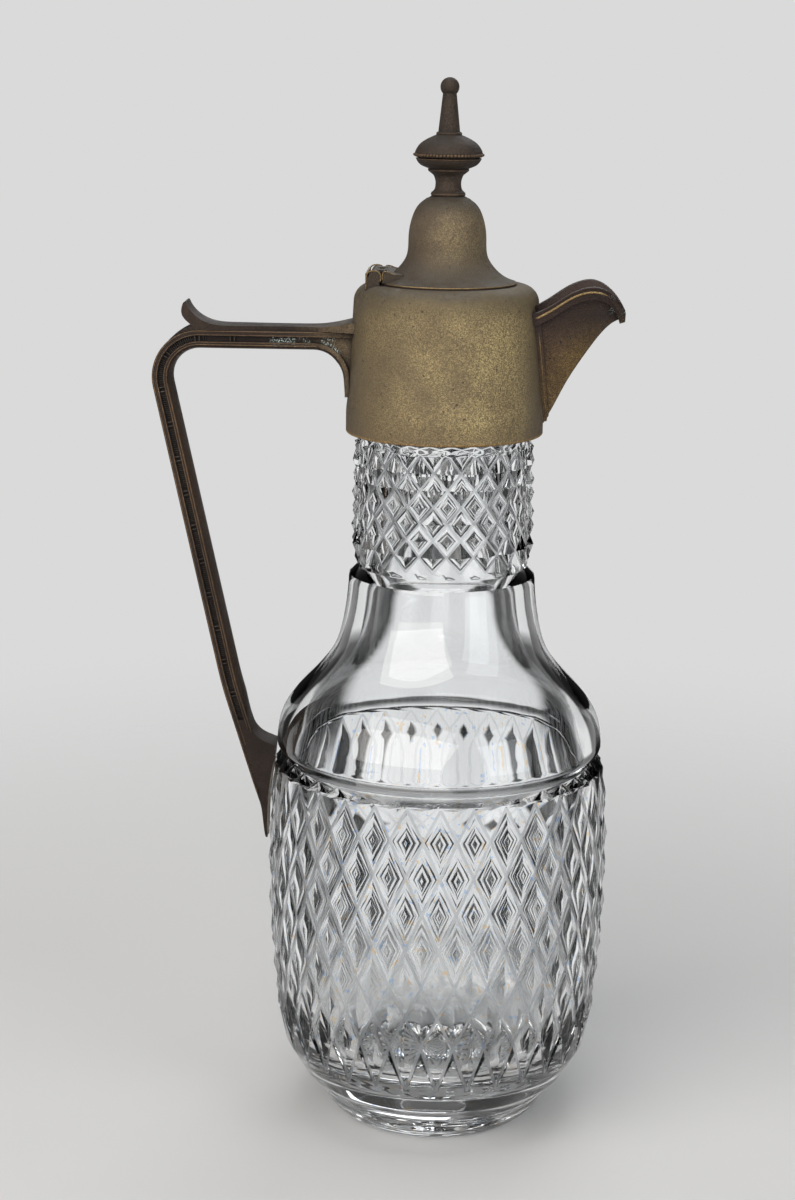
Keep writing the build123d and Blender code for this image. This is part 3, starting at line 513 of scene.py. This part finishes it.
def handle_lines():
    """Raised lines along the bands on both sides of the handle."""
    shell = Shell()
    for side in (-1, 1):
        for depth, start_x, end_z, size in HANDLE_LINES:
            y = side * (HALF_WIDTH - 0.03)
            places = route(limb_pieces(depth, start_x, end_z), 1.0)
            tube(shell, [(x, y, z) for x, z, nx, nz in places], size, 6)
    return shell.make("handle_lines")


# ---------------------------------------------------------------- spout

# x, height of the lip, and its outer half-width just under the crest and LIP_BAND below it
LIP = [(25.0, 240.85, 10.55, 9.86), (26.4, 241.45, 10.66, 9.92), (27.8, 242.22, 10.81, 10.01),
       (29.0, 242.91, 10.98, 10.14), (30.5, 243.88, 11.29, 10.39), (32.0, 244.91, 11.54, 10.54),
       (34.0, 246.23, 11.63, 10.51), (36.0, 247.32, 11.70, 10.46), (38.0, 248.08, 11.95, 10.53),
       (40.0, 248.54, 12.23, 10.57), (42.0, 248.56, 12.15, 10.21), (44.0, 247.98, 11.29, 9.09),
       (45.5, 247.18, 10.06, 7.75), (46.5, 246.44, 9.01, 6.66), (47.5, 245.53, 7.81, 5.49),
       (48.5, 244.37, 6.51, 4.26), (49.2, 243.38, 5.54, 3.37), (49.8, 242.38, 4.65, 2.59),
       (50.2, 241.61, 4.03, 1.9)]
LIP_BAND = 3.4
TIP_X = 50.3
TIP_SHARE = 0.62              # half-width of the lip's front, against that of its last place
TIP_SAG, TIP_MIDDLE_SAG = 0.45, 0.55              # how far the front hangs below its last place
GILT_TO_X = 46.0              # the bright line ends here, and thins out from GILT_THINS_X
GILT_THINS_X = 43.0

# Drop below the crest, sink into the trough, x of the front, radius and sides of each dark roll
LIP_ROLLS = [(0.15, 0.1, 50.2, 0.24, 8), (0.66, 0.03, TIP_X, 0.14, 6), (1.5, 0.2, 50.1, 0.34, 8)]
NOSE_RADIUS, NOSE_THINNING = 1.3, 0.9
NOSE = [(45.5, 8.1, 245.3), (46.5, 7.2, 244.4), (47.5, 6.1, 243.4), (48.3, 5.0, 242.2), (48.8, 3.9, 241.2),
        (49.15, 2.1, 240.4), (49.25, 0.0, 240.2)]
JOINT_STRIP = [(26.05, 8.55, 236.4), (26.6, 7.5, 232.0), (27.07, 6.48, 228.0), (27.5, 5.45, 224.0),
               (27.9, 4.41, 220.0), (28.33, 3.33, 216.0), (28.8, 2.15, 212.0), (29.0, 0.9, 210.0),
               (28.95, 0.0, 209.4)]


def lip_line(drop, sink, tip_x=TIP_X):
    """Points along the outside of the spout's lip, drop below its crest, round both sides."""
    side = [(x, wide - (wide - low) * drop / LIP_BAND - sink, z - drop) for x, z, wide, low in LIP]
    x, y, z = side[-1]
    front = [(tip_x, y * TIP_SHARE, z - TIP_SAG), (tip_x + 0.02, 0.0, z - TIP_MIDDLE_SAG)]
    return spline(both_sides(side + front), 2)


def spout_rolls():
    """The dark rolls of the lip's moulding and the thick roll under the tip."""
    shell = Shell()
    for drop, sink, tip_x, size, sides in LIP_ROLLS:
        tube(shell, lip_line(drop, sink, tip_x), size, sides)
    nose = spline(both_sides(NOSE), 3)
    middle = (len(nose) - 1) / 2
    size = [NOSE_RADIUS - NOSE_THINNING * (abs(k - middle) / middle) ** 2 for k in range(len(nose))]
    tube(shell, nose, size, 12)
    return shell.make("spout_rolls")


def spout_lines():
    """The bright line of the lip's moulding, and that of the joint strip."""
    shell = Shell()
    bright = [point for point in lip_line(drop=1.3, sink=0.08) if point[0] < GILT_TO_X]
    for side in (-1, 1):
        run = [point for point in bright if point[1] * side > 0]
        size = [0.4 - 0.1 * max(0.0, x - GILT_THINS_X) for x, y, z in run]
        tube(shell, run, size, 10)
    tube(shell, spline(both_sides(JOINT_STRIP), 3), 0.34, 8)
    return shell.make("spout_lines")


# ---------------------------------------------------------------- hinge

HINGE_END = 10.0              # half the length of the hinge
PLATE_EDGE = [(-22.3, 246.6), (-22.35, 248.5), (-22.3, 250.6), (-21.6, 251.7), (-20.3, 252.05),
              (-19.0, 251.8), (-18.25, 250.9), (-18.2, 249.8), (-18.4, 249.0)]
LEAF_EDGE = [(-17.75, 249.2), (-17.75, 251.2), (-17.3, 251.85), (-16.2, 251.75), (-15.2, 251.35),
             (-14.0, 251.1)]
HINGE_BEAD = (-22.25, 251.05)
HINGE_BEAD_RADIUS = 0.36


def hinge_edges():
    """The bright edges of the rolled sheet at the hinge, and the bead on its back plate."""
    shell = Shell()
    for side in (-1, 1):
        y = side * (HINGE_END - 0.05)
        for edge, size in ((PLATE_EDGE, 0.2), (LEAF_EDGE, 0.17)):
            tube(shell, [(x, y, z) for x, z in spline(edge, 3)], size, 8)
    half, steps = HINGE_END - 0.2, 20
    bead = [(HINGE_BEAD[0], half * (2 * k / steps - 1), HINGE_BEAD[1]) for k in range(steps + 1)]
    tube(shell, bead, HINGE_BEAD_RADIUS, 10)
    return shell.make("hinge_edges")


# ---------------------------------------------------------------- lid and finial

LID_EDGE_RADIUS, LID_EDGE_Z = 19.52, 248.4
LID_EDGE_DEGREES = (212, 508) # from one end of the hinge, by way of the spout, to the other
CAP_HOLE_RADIUS, CAP_Z = 1.6, 282.85
CAP = [(7.3, CAP_Z), (7.3, 283.15), (9.2, 283.18), (9.45, 283.3), (9.5, 283.6), (9.5, 284.1), (9.46, 284.5),
       (9.3, 284.95), (8.95, 285.6), (8.5, 286.25), (7.95, 286.88), (7.2, 287.45), (6.35, 287.98),
       (5.4, 288.48), (4.4, 288.92), (3.75, 289.18), (3.58, 289.3), (3.58, 289.8), (3.45, 289.95),
       (3.02, 290.15), (3.0, 290.65), (CAP_HOLE_RADIUS, 290.65)]
BEADS = 60
BEAD_PLACE = (9.6, 283.8)     # radius and height of the row of beads
BEAD_HALF_LENGTH, BEAD_RADIUS, BEAD_LEAN = 0.52, 0.42, 0.35

# Radius, height and thickness of the worn edges of the finial's rings
RING_EDGES = [(4.72, 272.95, 0.2), (5.62, 279.62, 0.2), (9.05, 282.72, 0.16), (3.5, 289.6, 0.14)]


def lid_edge():
    """The bright edge of the lid's rim, broken where the hinge is."""
    shell = Shell()
    start, stop = (math.radians(v) for v in LID_EDGE_DEGREES)
    turns = [start + (stop - start) * k / 150 for k in range(151)]
    points = [(LID_EDGE_RADIUS * math.cos(t), LID_EDGE_RADIUS * math.sin(t), LID_EDGE_Z) for t in turns]
    tube(shell, points, 0.27, 8)
    return shell.make("lid_edge")


def dome_cap():
    """The low dome of the finial, stepped in at its edge for the beads."""
    shell = Shell()
    first = ring(shell, ROUND, CAP_HOLE_RADIUS, CAP_Z)
    bridge(shell, lathe(shell, CAP, ROUND, first), first)
    return shell.make("dome_cap", sharp_degrees=35)


def finial_beads():
    """The beads round the edge of the finial's cap, and the worn edges of its rings."""
    shell = Shell()
    stops = [-0.95, -0.7, 0.0, 0.7, 0.95]
    size = [BEAD_RADIUS * math.sqrt(1 - k * k) for k in stops]
    for i in range(BEADS):
        turn = TURN * i / BEADS
        across = Vector((-math.sin(turn), math.cos(turn), BEAD_LEAN)).normalized() * BEAD_HALF_LENGTH
        middle = Vector((BEAD_PLACE[0] * math.cos(turn), BEAD_PLACE[0] * math.sin(turn), BEAD_PLACE[1]))
        tube(shell, [middle + across * k for k in stops], size, 8)
    for radius, z, wire in RING_EDGES:
        tube(shell, circle(radius, z, 96), wire, 8, True)
    return shell.make("finial_beads")


# ---------------------------------------------------------------- nodes

class Tree:
    """Short ways to add nodes to the tree of a material or of the world."""

    def __init__(self, owner):
        owner.use_nodes = True
        self.nodes, self.links = owner.node_tree.nodes, owner.node_tree.links
        self.nodes.clear()

    def feed(self, socket, value):
        """Links an output to a socket, or sets a number or a colour on it."""
        if isinstance(value, bpy.types.NodeSocket):
            self.links.new(value, socket)
        else:
            socket.default_value = (*value, 1) if isinstance(value, tuple) else value

    def add(self, kind, inputs=None, **settings):
        node = self.nodes.new("ShaderNode" + kind)
        for key, value in settings.items():
            setattr(node, key, value)
        for key, value in (inputs or {}).items():
            self.feed(node.inputs[key], value)
        return node

    def math(self, operation, *values):
        return self.add("Math", dict(enumerate(values)), operation=operation).outputs[0]

    def times(self, a, b):
        return self.math("MULTIPLY", a, b)

    def split(self, vector):
        """X, Y and Z of a vector."""
        return self.add("SeparateXYZ", {0: vector}).outputs

    def span(self, value, lo, hi, to_lo=0.0, to_hi=1.0, kind="LINEAR"):
        """The range from lo to hi carried over to that from to_lo to to_hi, and held at its ends."""
        inputs = {"Value": value, "From Min": lo, "From Max": hi, "To Min": to_lo, "To Max": to_hi}
        return self.add("MapRange", inputs, interpolation_type=kind).outputs["Result"]

    def mix(self, factor, a, b):
        """Colour a, which goes over to colour b as the factor rises."""
        node = self.add("Mix", {"Factor": factor}, data_type="RGBA")
        for key, value in (("A", a), ("B", b)):
            self.feed([k for k in node.inputs if k.name == key and k.type == "RGBA"][0], value)
        return [k for k in node.outputs if k.type == "RGBA"][0]

    def mix_shaders(self, factor, a, b):
        return self.add("MixShader", {0: factor, 1: a.outputs[0], 2: b.outputs[0]}).outputs[0]


class Surface(Tree):
    """A material with one Principled shader. Its patterns lie in Object coordinates, in metres."""

    def __init__(self, name):
        self.material = bpy.data.materials.new(name)
        super().__init__(self.material)
        self.shader = self.add("BsdfPrincipled")
        self.output = self.add("OutputMaterial", {"Surface": self.shader.outputs[0]})
        self.place = self.add("TexCoord").outputs["Object"]

    def set(self, **values):
        """Feeds the shader's inputs; an underscore in a name stands for a space."""
        for key, value in values.items():
            self.feed(self.shader.inputs[key.replace("_", " ")], value)

    def noise(self, per_metre, lo, hi, detail=4, distortion=0.0):
        """Noise with so many spots to the metre, as a factor that rises from 0 at lo to 1 at hi."""
        inputs = {"Vector": self.place, "Scale": per_metre, "Detail": detail, "Distortion": distortion}
        return self.span(self.add("TexNoise", inputs).outputs["Fac"], lo, hi)

    def facing_up(self, lo, hi):
        """1 where the surface faces up."""
        return self.span(self.split(self.add("NewGeometry").outputs["Normal"])["Z"], lo, hi)

    def hollows(self, reach_m, lo, hi):
        """1 deep in hollows and corners, 0 in the open."""
        node = self.add("AmbientOcclusion", {"Distance": reach_m}, samples=8)
        return self.span(node.outputs["AO"], lo, hi, 1.0, 0.0)

    def bump(self, height, strength, distance_m):
        node = self.add("Bump", {"Height": height, "Strength": strength, "Distance": distance_m})
        self.set(Normal=node.outputs["Normal"])


# ---------------------------------------------------------------- materials

BELLY_TOP_Z = 109.5           # the painted coloured glints end here
VERDIGRIS = (0.62, 0.74, 0.70)
PAINTED_SHADE_GREY = (0.055, 0.049, 0.043)  # dark grey painted shade over the shoulder of the collar and the rim of the lid
# painted shade at the far left and right of the collar
SIDE_SHADE_BROWN = (0.055, 0.042, 0.035)


def crystal():
    """Clear lead glass, matt in the grooves. Faint blue and amber spots in the belly are painted glints of
    coloured fire.
    """
    m = Surface("crystal")
    ground = m.add("Attribute", attribute_name="ground").outputs["Fac"]
    belly = m.span(m.split(m.place)["Z"], BELLY_TOP_Z * MM, (BELLY_TOP_Z + 0.5) * MM, 1.0, 0.0)
    # painted glints: blue and amber spots in the belly stand in for the coloured fire of the cut glass
    blue_glint = m.times(m.noise(420, 0.70, 0.72, 1), belly)
    amber_glint = m.times(m.noise(380, 0.71, 0.73, 1, 0.6), belly)
    tint = m.mix(ground, (0.955, 0.965, 0.97), (0.80, 0.82, 0.84))
    tint = m.mix(blue_glint, tint, (0.42, 0.62, 1.0))
    tint = m.mix(amber_glint, tint, (1.0, 0.68, 0.38))
    smears = m.span(m.noise(60, 0.5, 0.8, 6), 0.0, 1.0, 0.0, 0.03)
    m.set(Transmission_Weight=1.0, IOR=1.56, Base_Color=tint,
          Roughness=m.math("MULTIPLY_ADD", ground, 0.28, smears))
    return m.material


def shade(tone, level):
    return tuple(level * v for v in tone)


def patina(name, worn, brown, dark, dust, rough=(0.55, 0.72), metal=0.4, grain_share=0.6, sand_share=0.3,
           crust=(), bands=()):
    """Aged metal: worn, brown, dark and dusty tones, with pits and grain, and painted shade in hollows.

    crust gives the ranges (axis, from, to) that have pale verdigris in their hollows. Each band is
    (axis, start, full, share, tone): the tone comes in from one place to the other, up to that
    share. Both are in millimetres, and Y is taken on both sides of the middle."""
    m = Surface(name)
    place = m.split(m.place)
    axes = {"X": place["X"], "Y": m.math("ABSOLUTE", place["Y"]), "Z": place["Z"]}
    mottle = m.noise(75, 0.38, 0.66, 8, 0.5)
    clouds = m.noise(30, 0.48, 0.64, 6, 0.4)
    speckle = m.noise(700, 0.42, 0.64, 6)
    sand = m.noise(1500, 0.46, 0.62, 3)
    grain = m.noise(3000, 0.38, 0.60, 2)
    pits = m.noise(1000, 0.67, 0.71, 3)
    hollow = m.hollows(0.0022, 0.45, 0.95)
    colour = m.mix(m.times(mottle, 0.7), worn, brown)
    colour = m.mix(m.times(clouds, 0.8), colour, tuple((p + q) / 2 for p, q in zip(brown, dark)))
    for axis, start, full, most, tone in bands:
        uneven = m.span(mottle, 0.0, 1.0, most, most * 0.72)
        colour = m.mix(m.times(m.span(axes[axis], start * MM, full * MM), uneven), colour, tone)
    colour = m.mix(m.times(speckle, 0.35), colour, shade(brown, 0.75))
    colour = m.mix(m.times(grain, grain_share), colour, shade(brown, 0.4))
    colour = m.mix(m.times(sand, sand_share), colour, shade(brown, 0.45))
    colour = m.mix(m.times(m.facing_up(0.45, 1.0), m.noise(420, 0.3, 0.62, 5)), colour, dust)
    # painted shade: the colour goes over to dark deep in hollows and corners
    colour = m.mix(hollow, colour, dark)
    colour = m.mix(pits, colour, dark)
    if crust:
        specks = m.times(m.noise(2300, 0.54, 0.57, 3), m.noise(260, 0.47, 0.55, 2))
        specks = m.times(specks, m.span(hollow, 0.15, 0.5))
        for axis, start, stop in crust:
            specks = m.times(specks, m.span(axes[axis], start * MM, (start + 1) * MM))
            specks = m.times(specks, m.span(axes[axis], (stop - 1) * MM, stop * MM, 1.0, 0.0))
        colour = m.mix(specks, colour, VERDIGRIS)
    m.set(Metallic=metal, Base_Color=colour, Roughness=m.span(mottle, 0.0, 1.0, *rough))
    m.bump(grain, 0.5, 0.0002)
    return m.material


CRYSTAL = crystal()
COLLAR = patina(
    "collar_metal", worn=(0.66, 0.512, 0.237), brown=(0.39, 0.295, 0.162), dark=(0.085, 0.058, 0.045),
    dust=(0.15, 0.135, 0.11), grain_share=0.75, sand_share=0.62,
    bands=[
        # painted shade: darker towards the left and right sides, then brown at their far ends
        ("X", -8.0, -26.2, 0.85, (0.135, 0.10, 0.072)),
        ("X", 18.5, 26.5, 0.7, (0.13, 0.095, 0.072)),
        ("X", -21.5, -26.2, 0.8, SIDE_SHADE_BROWN),
        ("X", 22.5, 26.6, 0.7, SIDE_SHADE_BROWN),
        # painted shade: dark grey over the shoulder, then darker towards the foot
        ("Z", 238.5, 246.2, 1.0, PAINTED_SHADE_GREY),
        ("Z", 212.0, 207.0, 0.45, (0.20, 0.125, 0.08)),
        ("Z", 206.5, 206.2, 1.0, (0.62, 0.36, 0.12)),
    ])
LID = patina(
    "lid_metal", worn=(0.37, 0.285, 0.15), brown=(0.21, 0.155, 0.105), dark=(0.06, 0.045, 0.038),
    dust=(0.12, 0.108, 0.088),
    bands=[
        # painted shade: darker towards the left side, dark grey towards the rim and darker towards the top
        ("X", -3.0, -12.5, 0.65, (0.10, 0.075, 0.062)),
        ("Z", 260.5, 249.5, 1.0, PAINTED_SHADE_GREY),
        ("Z", 266.0, 271.5, 1.0, (0.085, 0.074, 0.058)),
    ])
SPOUT = patina(
    "spout_metal", worn=(0.165, 0.098, 0.07), brown=(0.10, 0.062, 0.048), dark=(0.03, 0.021, 0.02),
    dust=(0.15, 0.14, 0.125), crust=[("X", 40.0, 52.0), ("Z", 238.0, 247.5)],
    bands=[
        ("Y", 9.0, 3.5, 0.95, (0.34, 0.215, 0.075)),
        ("Z", 229.0, 240.0, 1.0, (0.045, 0.030, 0.027)),
    ])
HANDLE = patina(
    "handle_metal", worn=(0.075, 0.046, 0.029), brown=(0.042, 0.028, 0.022), dark=(0.014, 0.010, 0.009),
    dust=(0.06, 0.053, 0.048), rough=(0.42, 0.62), metal=0.5, grain_share=0.4,
    crust=[("X", -50.0, -29.0), ("Z", 222.0, 232.8)], bands=[("X", -44.0, -30.0, 0.9, (0.24, 0.175, 0.10))])
RIBS = patina(
    "rib_metal", worn=(0.15, 0.122, 0.10), brown=(0.09, 0.075, 0.063), dark=(0.022, 0.018, 0.016),
    dust=(0.14, 0.125, 0.11), rough=(0.45, 0.65), metal=0.5, grain_share=0.3, crust=[("X", -50.0, -29.0)])
ROLL = patina(
    "roll_metal", worn=(0.075, 0.036, 0.015), brown=(0.045, 0.025, 0.014), dark=(0.018, 0.011, 0.008),
    dust=(0.05, 0.04, 0.03), rough=(0.4, 0.55), metal=0.5, grain_share=0.3)
LINES = patina(
    "line_metal", worn=(0.32, 0.20, 0.11), brown=(0.17, 0.105, 0.06), dark=(0.05, 0.034, 0.025),
    dust=(0.2, 0.15, 0.1), rough=(0.35, 0.5), metal=0.6, grain_share=0.4)
GILT = patina(
    "edge_metal", worn=(0.60, 0.42, 0.19), brown=(0.36, 0.24, 0.11), dark=(0.10, 0.068, 0.04),
    dust=(0.34, 0.26, 0.16), rough=(0.32, 0.48), metal=0.65, grain_share=0.3)
HINGE = patina(
    "hinge_metal", worn=(0.16, 0.115, 0.06), brown=(0.10, 0.075, 0.05), dark=(0.036, 0.028, 0.024),
    dust=(0.12, 0.108, 0.09))
FINIAL = patina(
    "finial_metal", worn=(0.115, 0.076, 0.048), brown=(0.062, 0.046, 0.037), dark=(0.022, 0.017, 0.016),
    dust=(0.06, 0.054, 0.048), crust=[("Z", 298.0, 302.5)])
PLASTER = patina(
    "plaster", worn=(0.62, 0.57, 0.48), brown=(0.5, 0.45, 0.37), dark=(0.36, 0.32, 0.27),
    dust=(0.6, 0.56, 0.5), rough=(0.8, 0.95), metal=0.0, grain_share=0.1)


# ---------------------------------------------------------------- pieces and their materials

def dress(obj, material):
    obj.data.materials.clear()
    obj.data.materials.append(material)


# What makes a piece, its material, its slot, its body, and the node that it stands in for
PIECES = [
    (glass_jug, CRYSTAL, "crystal", "jug", "glass_body"),
    (handle_roll, ROLL, "handle_bronze", "jug", None),
    (handle_ribs, RIBS, "handle_bronze", "jug", None),
    (handle_lines, LINES, "handle_bronze", "jug", None),
    (spout_rolls, SPOUT, "spout_brass", "jug", None),
    (spout_lines, GILT, "spout_brass", "jug", None),
    (hinge_edges, GILT, "hinge_brass", "jug", None),
    (lid_edge, GILT, "lid_brass", "lid", None),
    (dome_cap, FINIAL, "finial_brass", "lid", "finial_cap"),
    (finial_beads, LINES, "finial_brass", "lid", None),
]
SLOT_MATERIALS = {
    "crystal": CRYSTAL, "plaster": PLASTER, "cement": PLASTER, "collar_brass": COLLAR, "lid_brass": LID,
    "spout_brass": SPOUT, "handle_bronze": HANDLE, "hinge_brass": HINGE, "finial_brass": FINIAL,
}

for build, material, slot, body, node in PIECES:
    piece = build()
    if node:
        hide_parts(node)
    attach(piece, body)
    dress(piece, material)
for row in frame["record"]["subparts"]:
    for material_slot in frame["nodes"][row["node"]].material_slots:
        material_slot.material = SLOT_MATERIALS[row["material_slot"]]


# ---------------------------------------------------------------- camera

LENS, SENSOR = 72, 36         # focal length and width of the frame
CLIP_START_M = 0.01
CAMERA_DISTANCE, CAMERA_HEIGHT = 681.3, 315.6
AZIMUTH, PITCH, YAW, TILT = (math.radians(v) for v in (-1.0, 13.2, 1.0747, 0.72))


def photo_camera():
    """Camera at the photograph's viewing angle, solved from the jug's outlines."""
    forward = Vector((-math.sin(YAW) * math.cos(PITCH), math.cos(YAW) * math.cos(PITCH), -math.sin(PITCH)))
    level = Vector((math.cos(YAW), math.sin(YAW), 0.0))
    steep = level.cross(forward)
    right = level * math.cos(TILT) + steep * math.sin(TILT)
    up = steep * math.cos(TILT) - level * math.sin(TILT)
    turn = Matrix.Rotation(-AZIMUTH, 3, "Z")
    camera = bpy.data.cameras.new("camera")
    camera.sensor_width = SENSOR
    camera.lens = LENS
    camera.clip_start = CLIP_START_M
    obj = bpy.data.objects.new("camera", camera)
    bpy.context.scene.collection.objects.link(obj)
    place = turn @ Vector((0.0, -CAMERA_DISTANCE, CAMERA_HEIGHT)) * MM
    axes = Matrix((turn @ right, turn @ up, turn @ -forward)).transposed()
    obj.matrix_world = Matrix.Translation(place) @ axes.to_4x4()
    bpy.context.scene.camera = obj


# ---------------------------------------------------------------- background, floor and light

PALE = 0.70                   # the background as the camera sees it
PANELS = 8                    # upright pale panels round the object, which metal and glass show
GAP_LEVEL, PANEL_LEVEL = 0.03, 1.2
PANEL_FADE = [(0.03, PALE), (0.12, 0.35), (0.22, 0.12), (0.45, 0.04)]   # sine of the elevation, level
ZENITH = (0.03, 0.031, 0.035)
DIFFUSE_SHARE = 0.3           # how much of the panels lights the matt surfaces
FLOOR_RADIUS = 600.0
FLOOR_GREY = (0.76, 0.76, 0.76)
SEEN_FADE_M = (0.15, FLOOR_RADIUS * 0.95 * MM)    # where the floor fades out for the camera
LIT_FADE_M = (0.06, 0.17)     # and where it does for metal, glass and reflected light
AIM_M = (0, 0, 0.14)

# Name, place in metres, watts, size in metres and colour of each lamp
LAMPS = [
    ("key", (-0.8, -1.5, 1.1), 42, (2.6, 1.9), (1.0, 0.97, 0.93)),
    ("fill", (1.25, -1.0, 0.6), 8, (1.0, 1.5), (0.93, 0.97, 1.0)),
    ("back", (0.3, 1.2, 1.1), 5, (1.0, 0.6), (0.96, 0.98, 1.0)),
    ("top", (0.0, 0.0, 1.7), 8, (0.9, 0.9), (1.0, 1.0, 1.0)),
]


def background():
    """Plain and pale for the camera; metal and glass see it as panels with dark gaps between."""
    world = bpy.data.worlds.new("studio")
    bpy.context.scene.world = world
    t = Tree(world)
    way = t.split(t.add("TexCoord").outputs["Generated"])
    wave = t.math("COSINE", t.times(t.math("ARCTAN2", way["Y"], way["X"]), PANELS))
    panels = t.span(wave, -0.3, 0.3, GAP_LEVEL, PANEL_LEVEL, "SMOOTHSTEP")
    ramp = t.add("ValToRGB", {0: way["Z"]})
    stops = ramp.color_ramp.elements
    stops[0].color = (PALE, PALE, PALE, 1)
    stops[1].color = (*ZENITH, 1)
    for height, level in PANEL_FADE:
        stops.new(height).color = (level, level, level, 1)
    ray = t.add("LightPath").outputs
    strength = t.times(panels, t.span(ray["Is Diffuse Ray"], 0.0, 1.0, 1.0, DIFFUSE_SHARE))
    seen_in_glass = t.add("Background", {0: ramp.outputs[0], 1: strength})
    plain = t.add("Background", {0: (PALE, PALE, PALE)})
    t.add("OutputWorld", {0: t.mix_shaders(ray["Is Camera Ray"], seen_in_glass, plain)})


def floor():
    """A matt disc that fades into the background and keeps the jug's shadow."""
    shell = Shell()
    fan(shell, lathe(shell, [(FLOOR_RADIUS, 0), (200.0, 0), (40.0, 0)], 64), 0)
    obj = shell.make("floor")
    m = Surface("floor")
    m.set(Base_Color=FLOOR_GREY, Roughness=0.9, Specular_IOR_Level=0.1)
    away = m.add("VectorMath", {0: m.place}, operation="LENGTH").outputs["Value"]
    seen, lit = (m.span(away, *fade, kind="SMOOTHSTEP") for fade in (SEEN_FADE_M, LIT_FADE_M))
    camera_ray = m.add("LightPath").outputs["Is Camera Ray"]
    gone = m.add("Mix", {"Factor": camera_ray, "A": lit, "B": seen}).outputs["Result"]
    m.feed(m.output.inputs["Surface"], m.mix_shaders(gone, m.shader, m.add("BsdfTransparent")))
    dress(obj, m.material)


def area_lamp(name, place_m, watts, size_m, colour):
    lamp = bpy.data.lights.new(name, "AREA")
    lamp.shape = "RECTANGLE"
    lamp.size, lamp.size_y = size_m
    lamp.energy = watts
    lamp.color = colour
    obj = bpy.data.objects.new(name, lamp)
    obj.location = place_m
    obj.rotation_euler = (Vector(AIM_M) - Vector(place_m)).to_track_quat("-Z", "Y").to_euler()
    bpy.context.scene.collection.objects.link(obj)


photo_camera()
background()
floor()
for lamp_row in LAMPS:
    area_lamp(*lamp_row)
bpy.context.scene.view_settings.view_transform = "Standard"
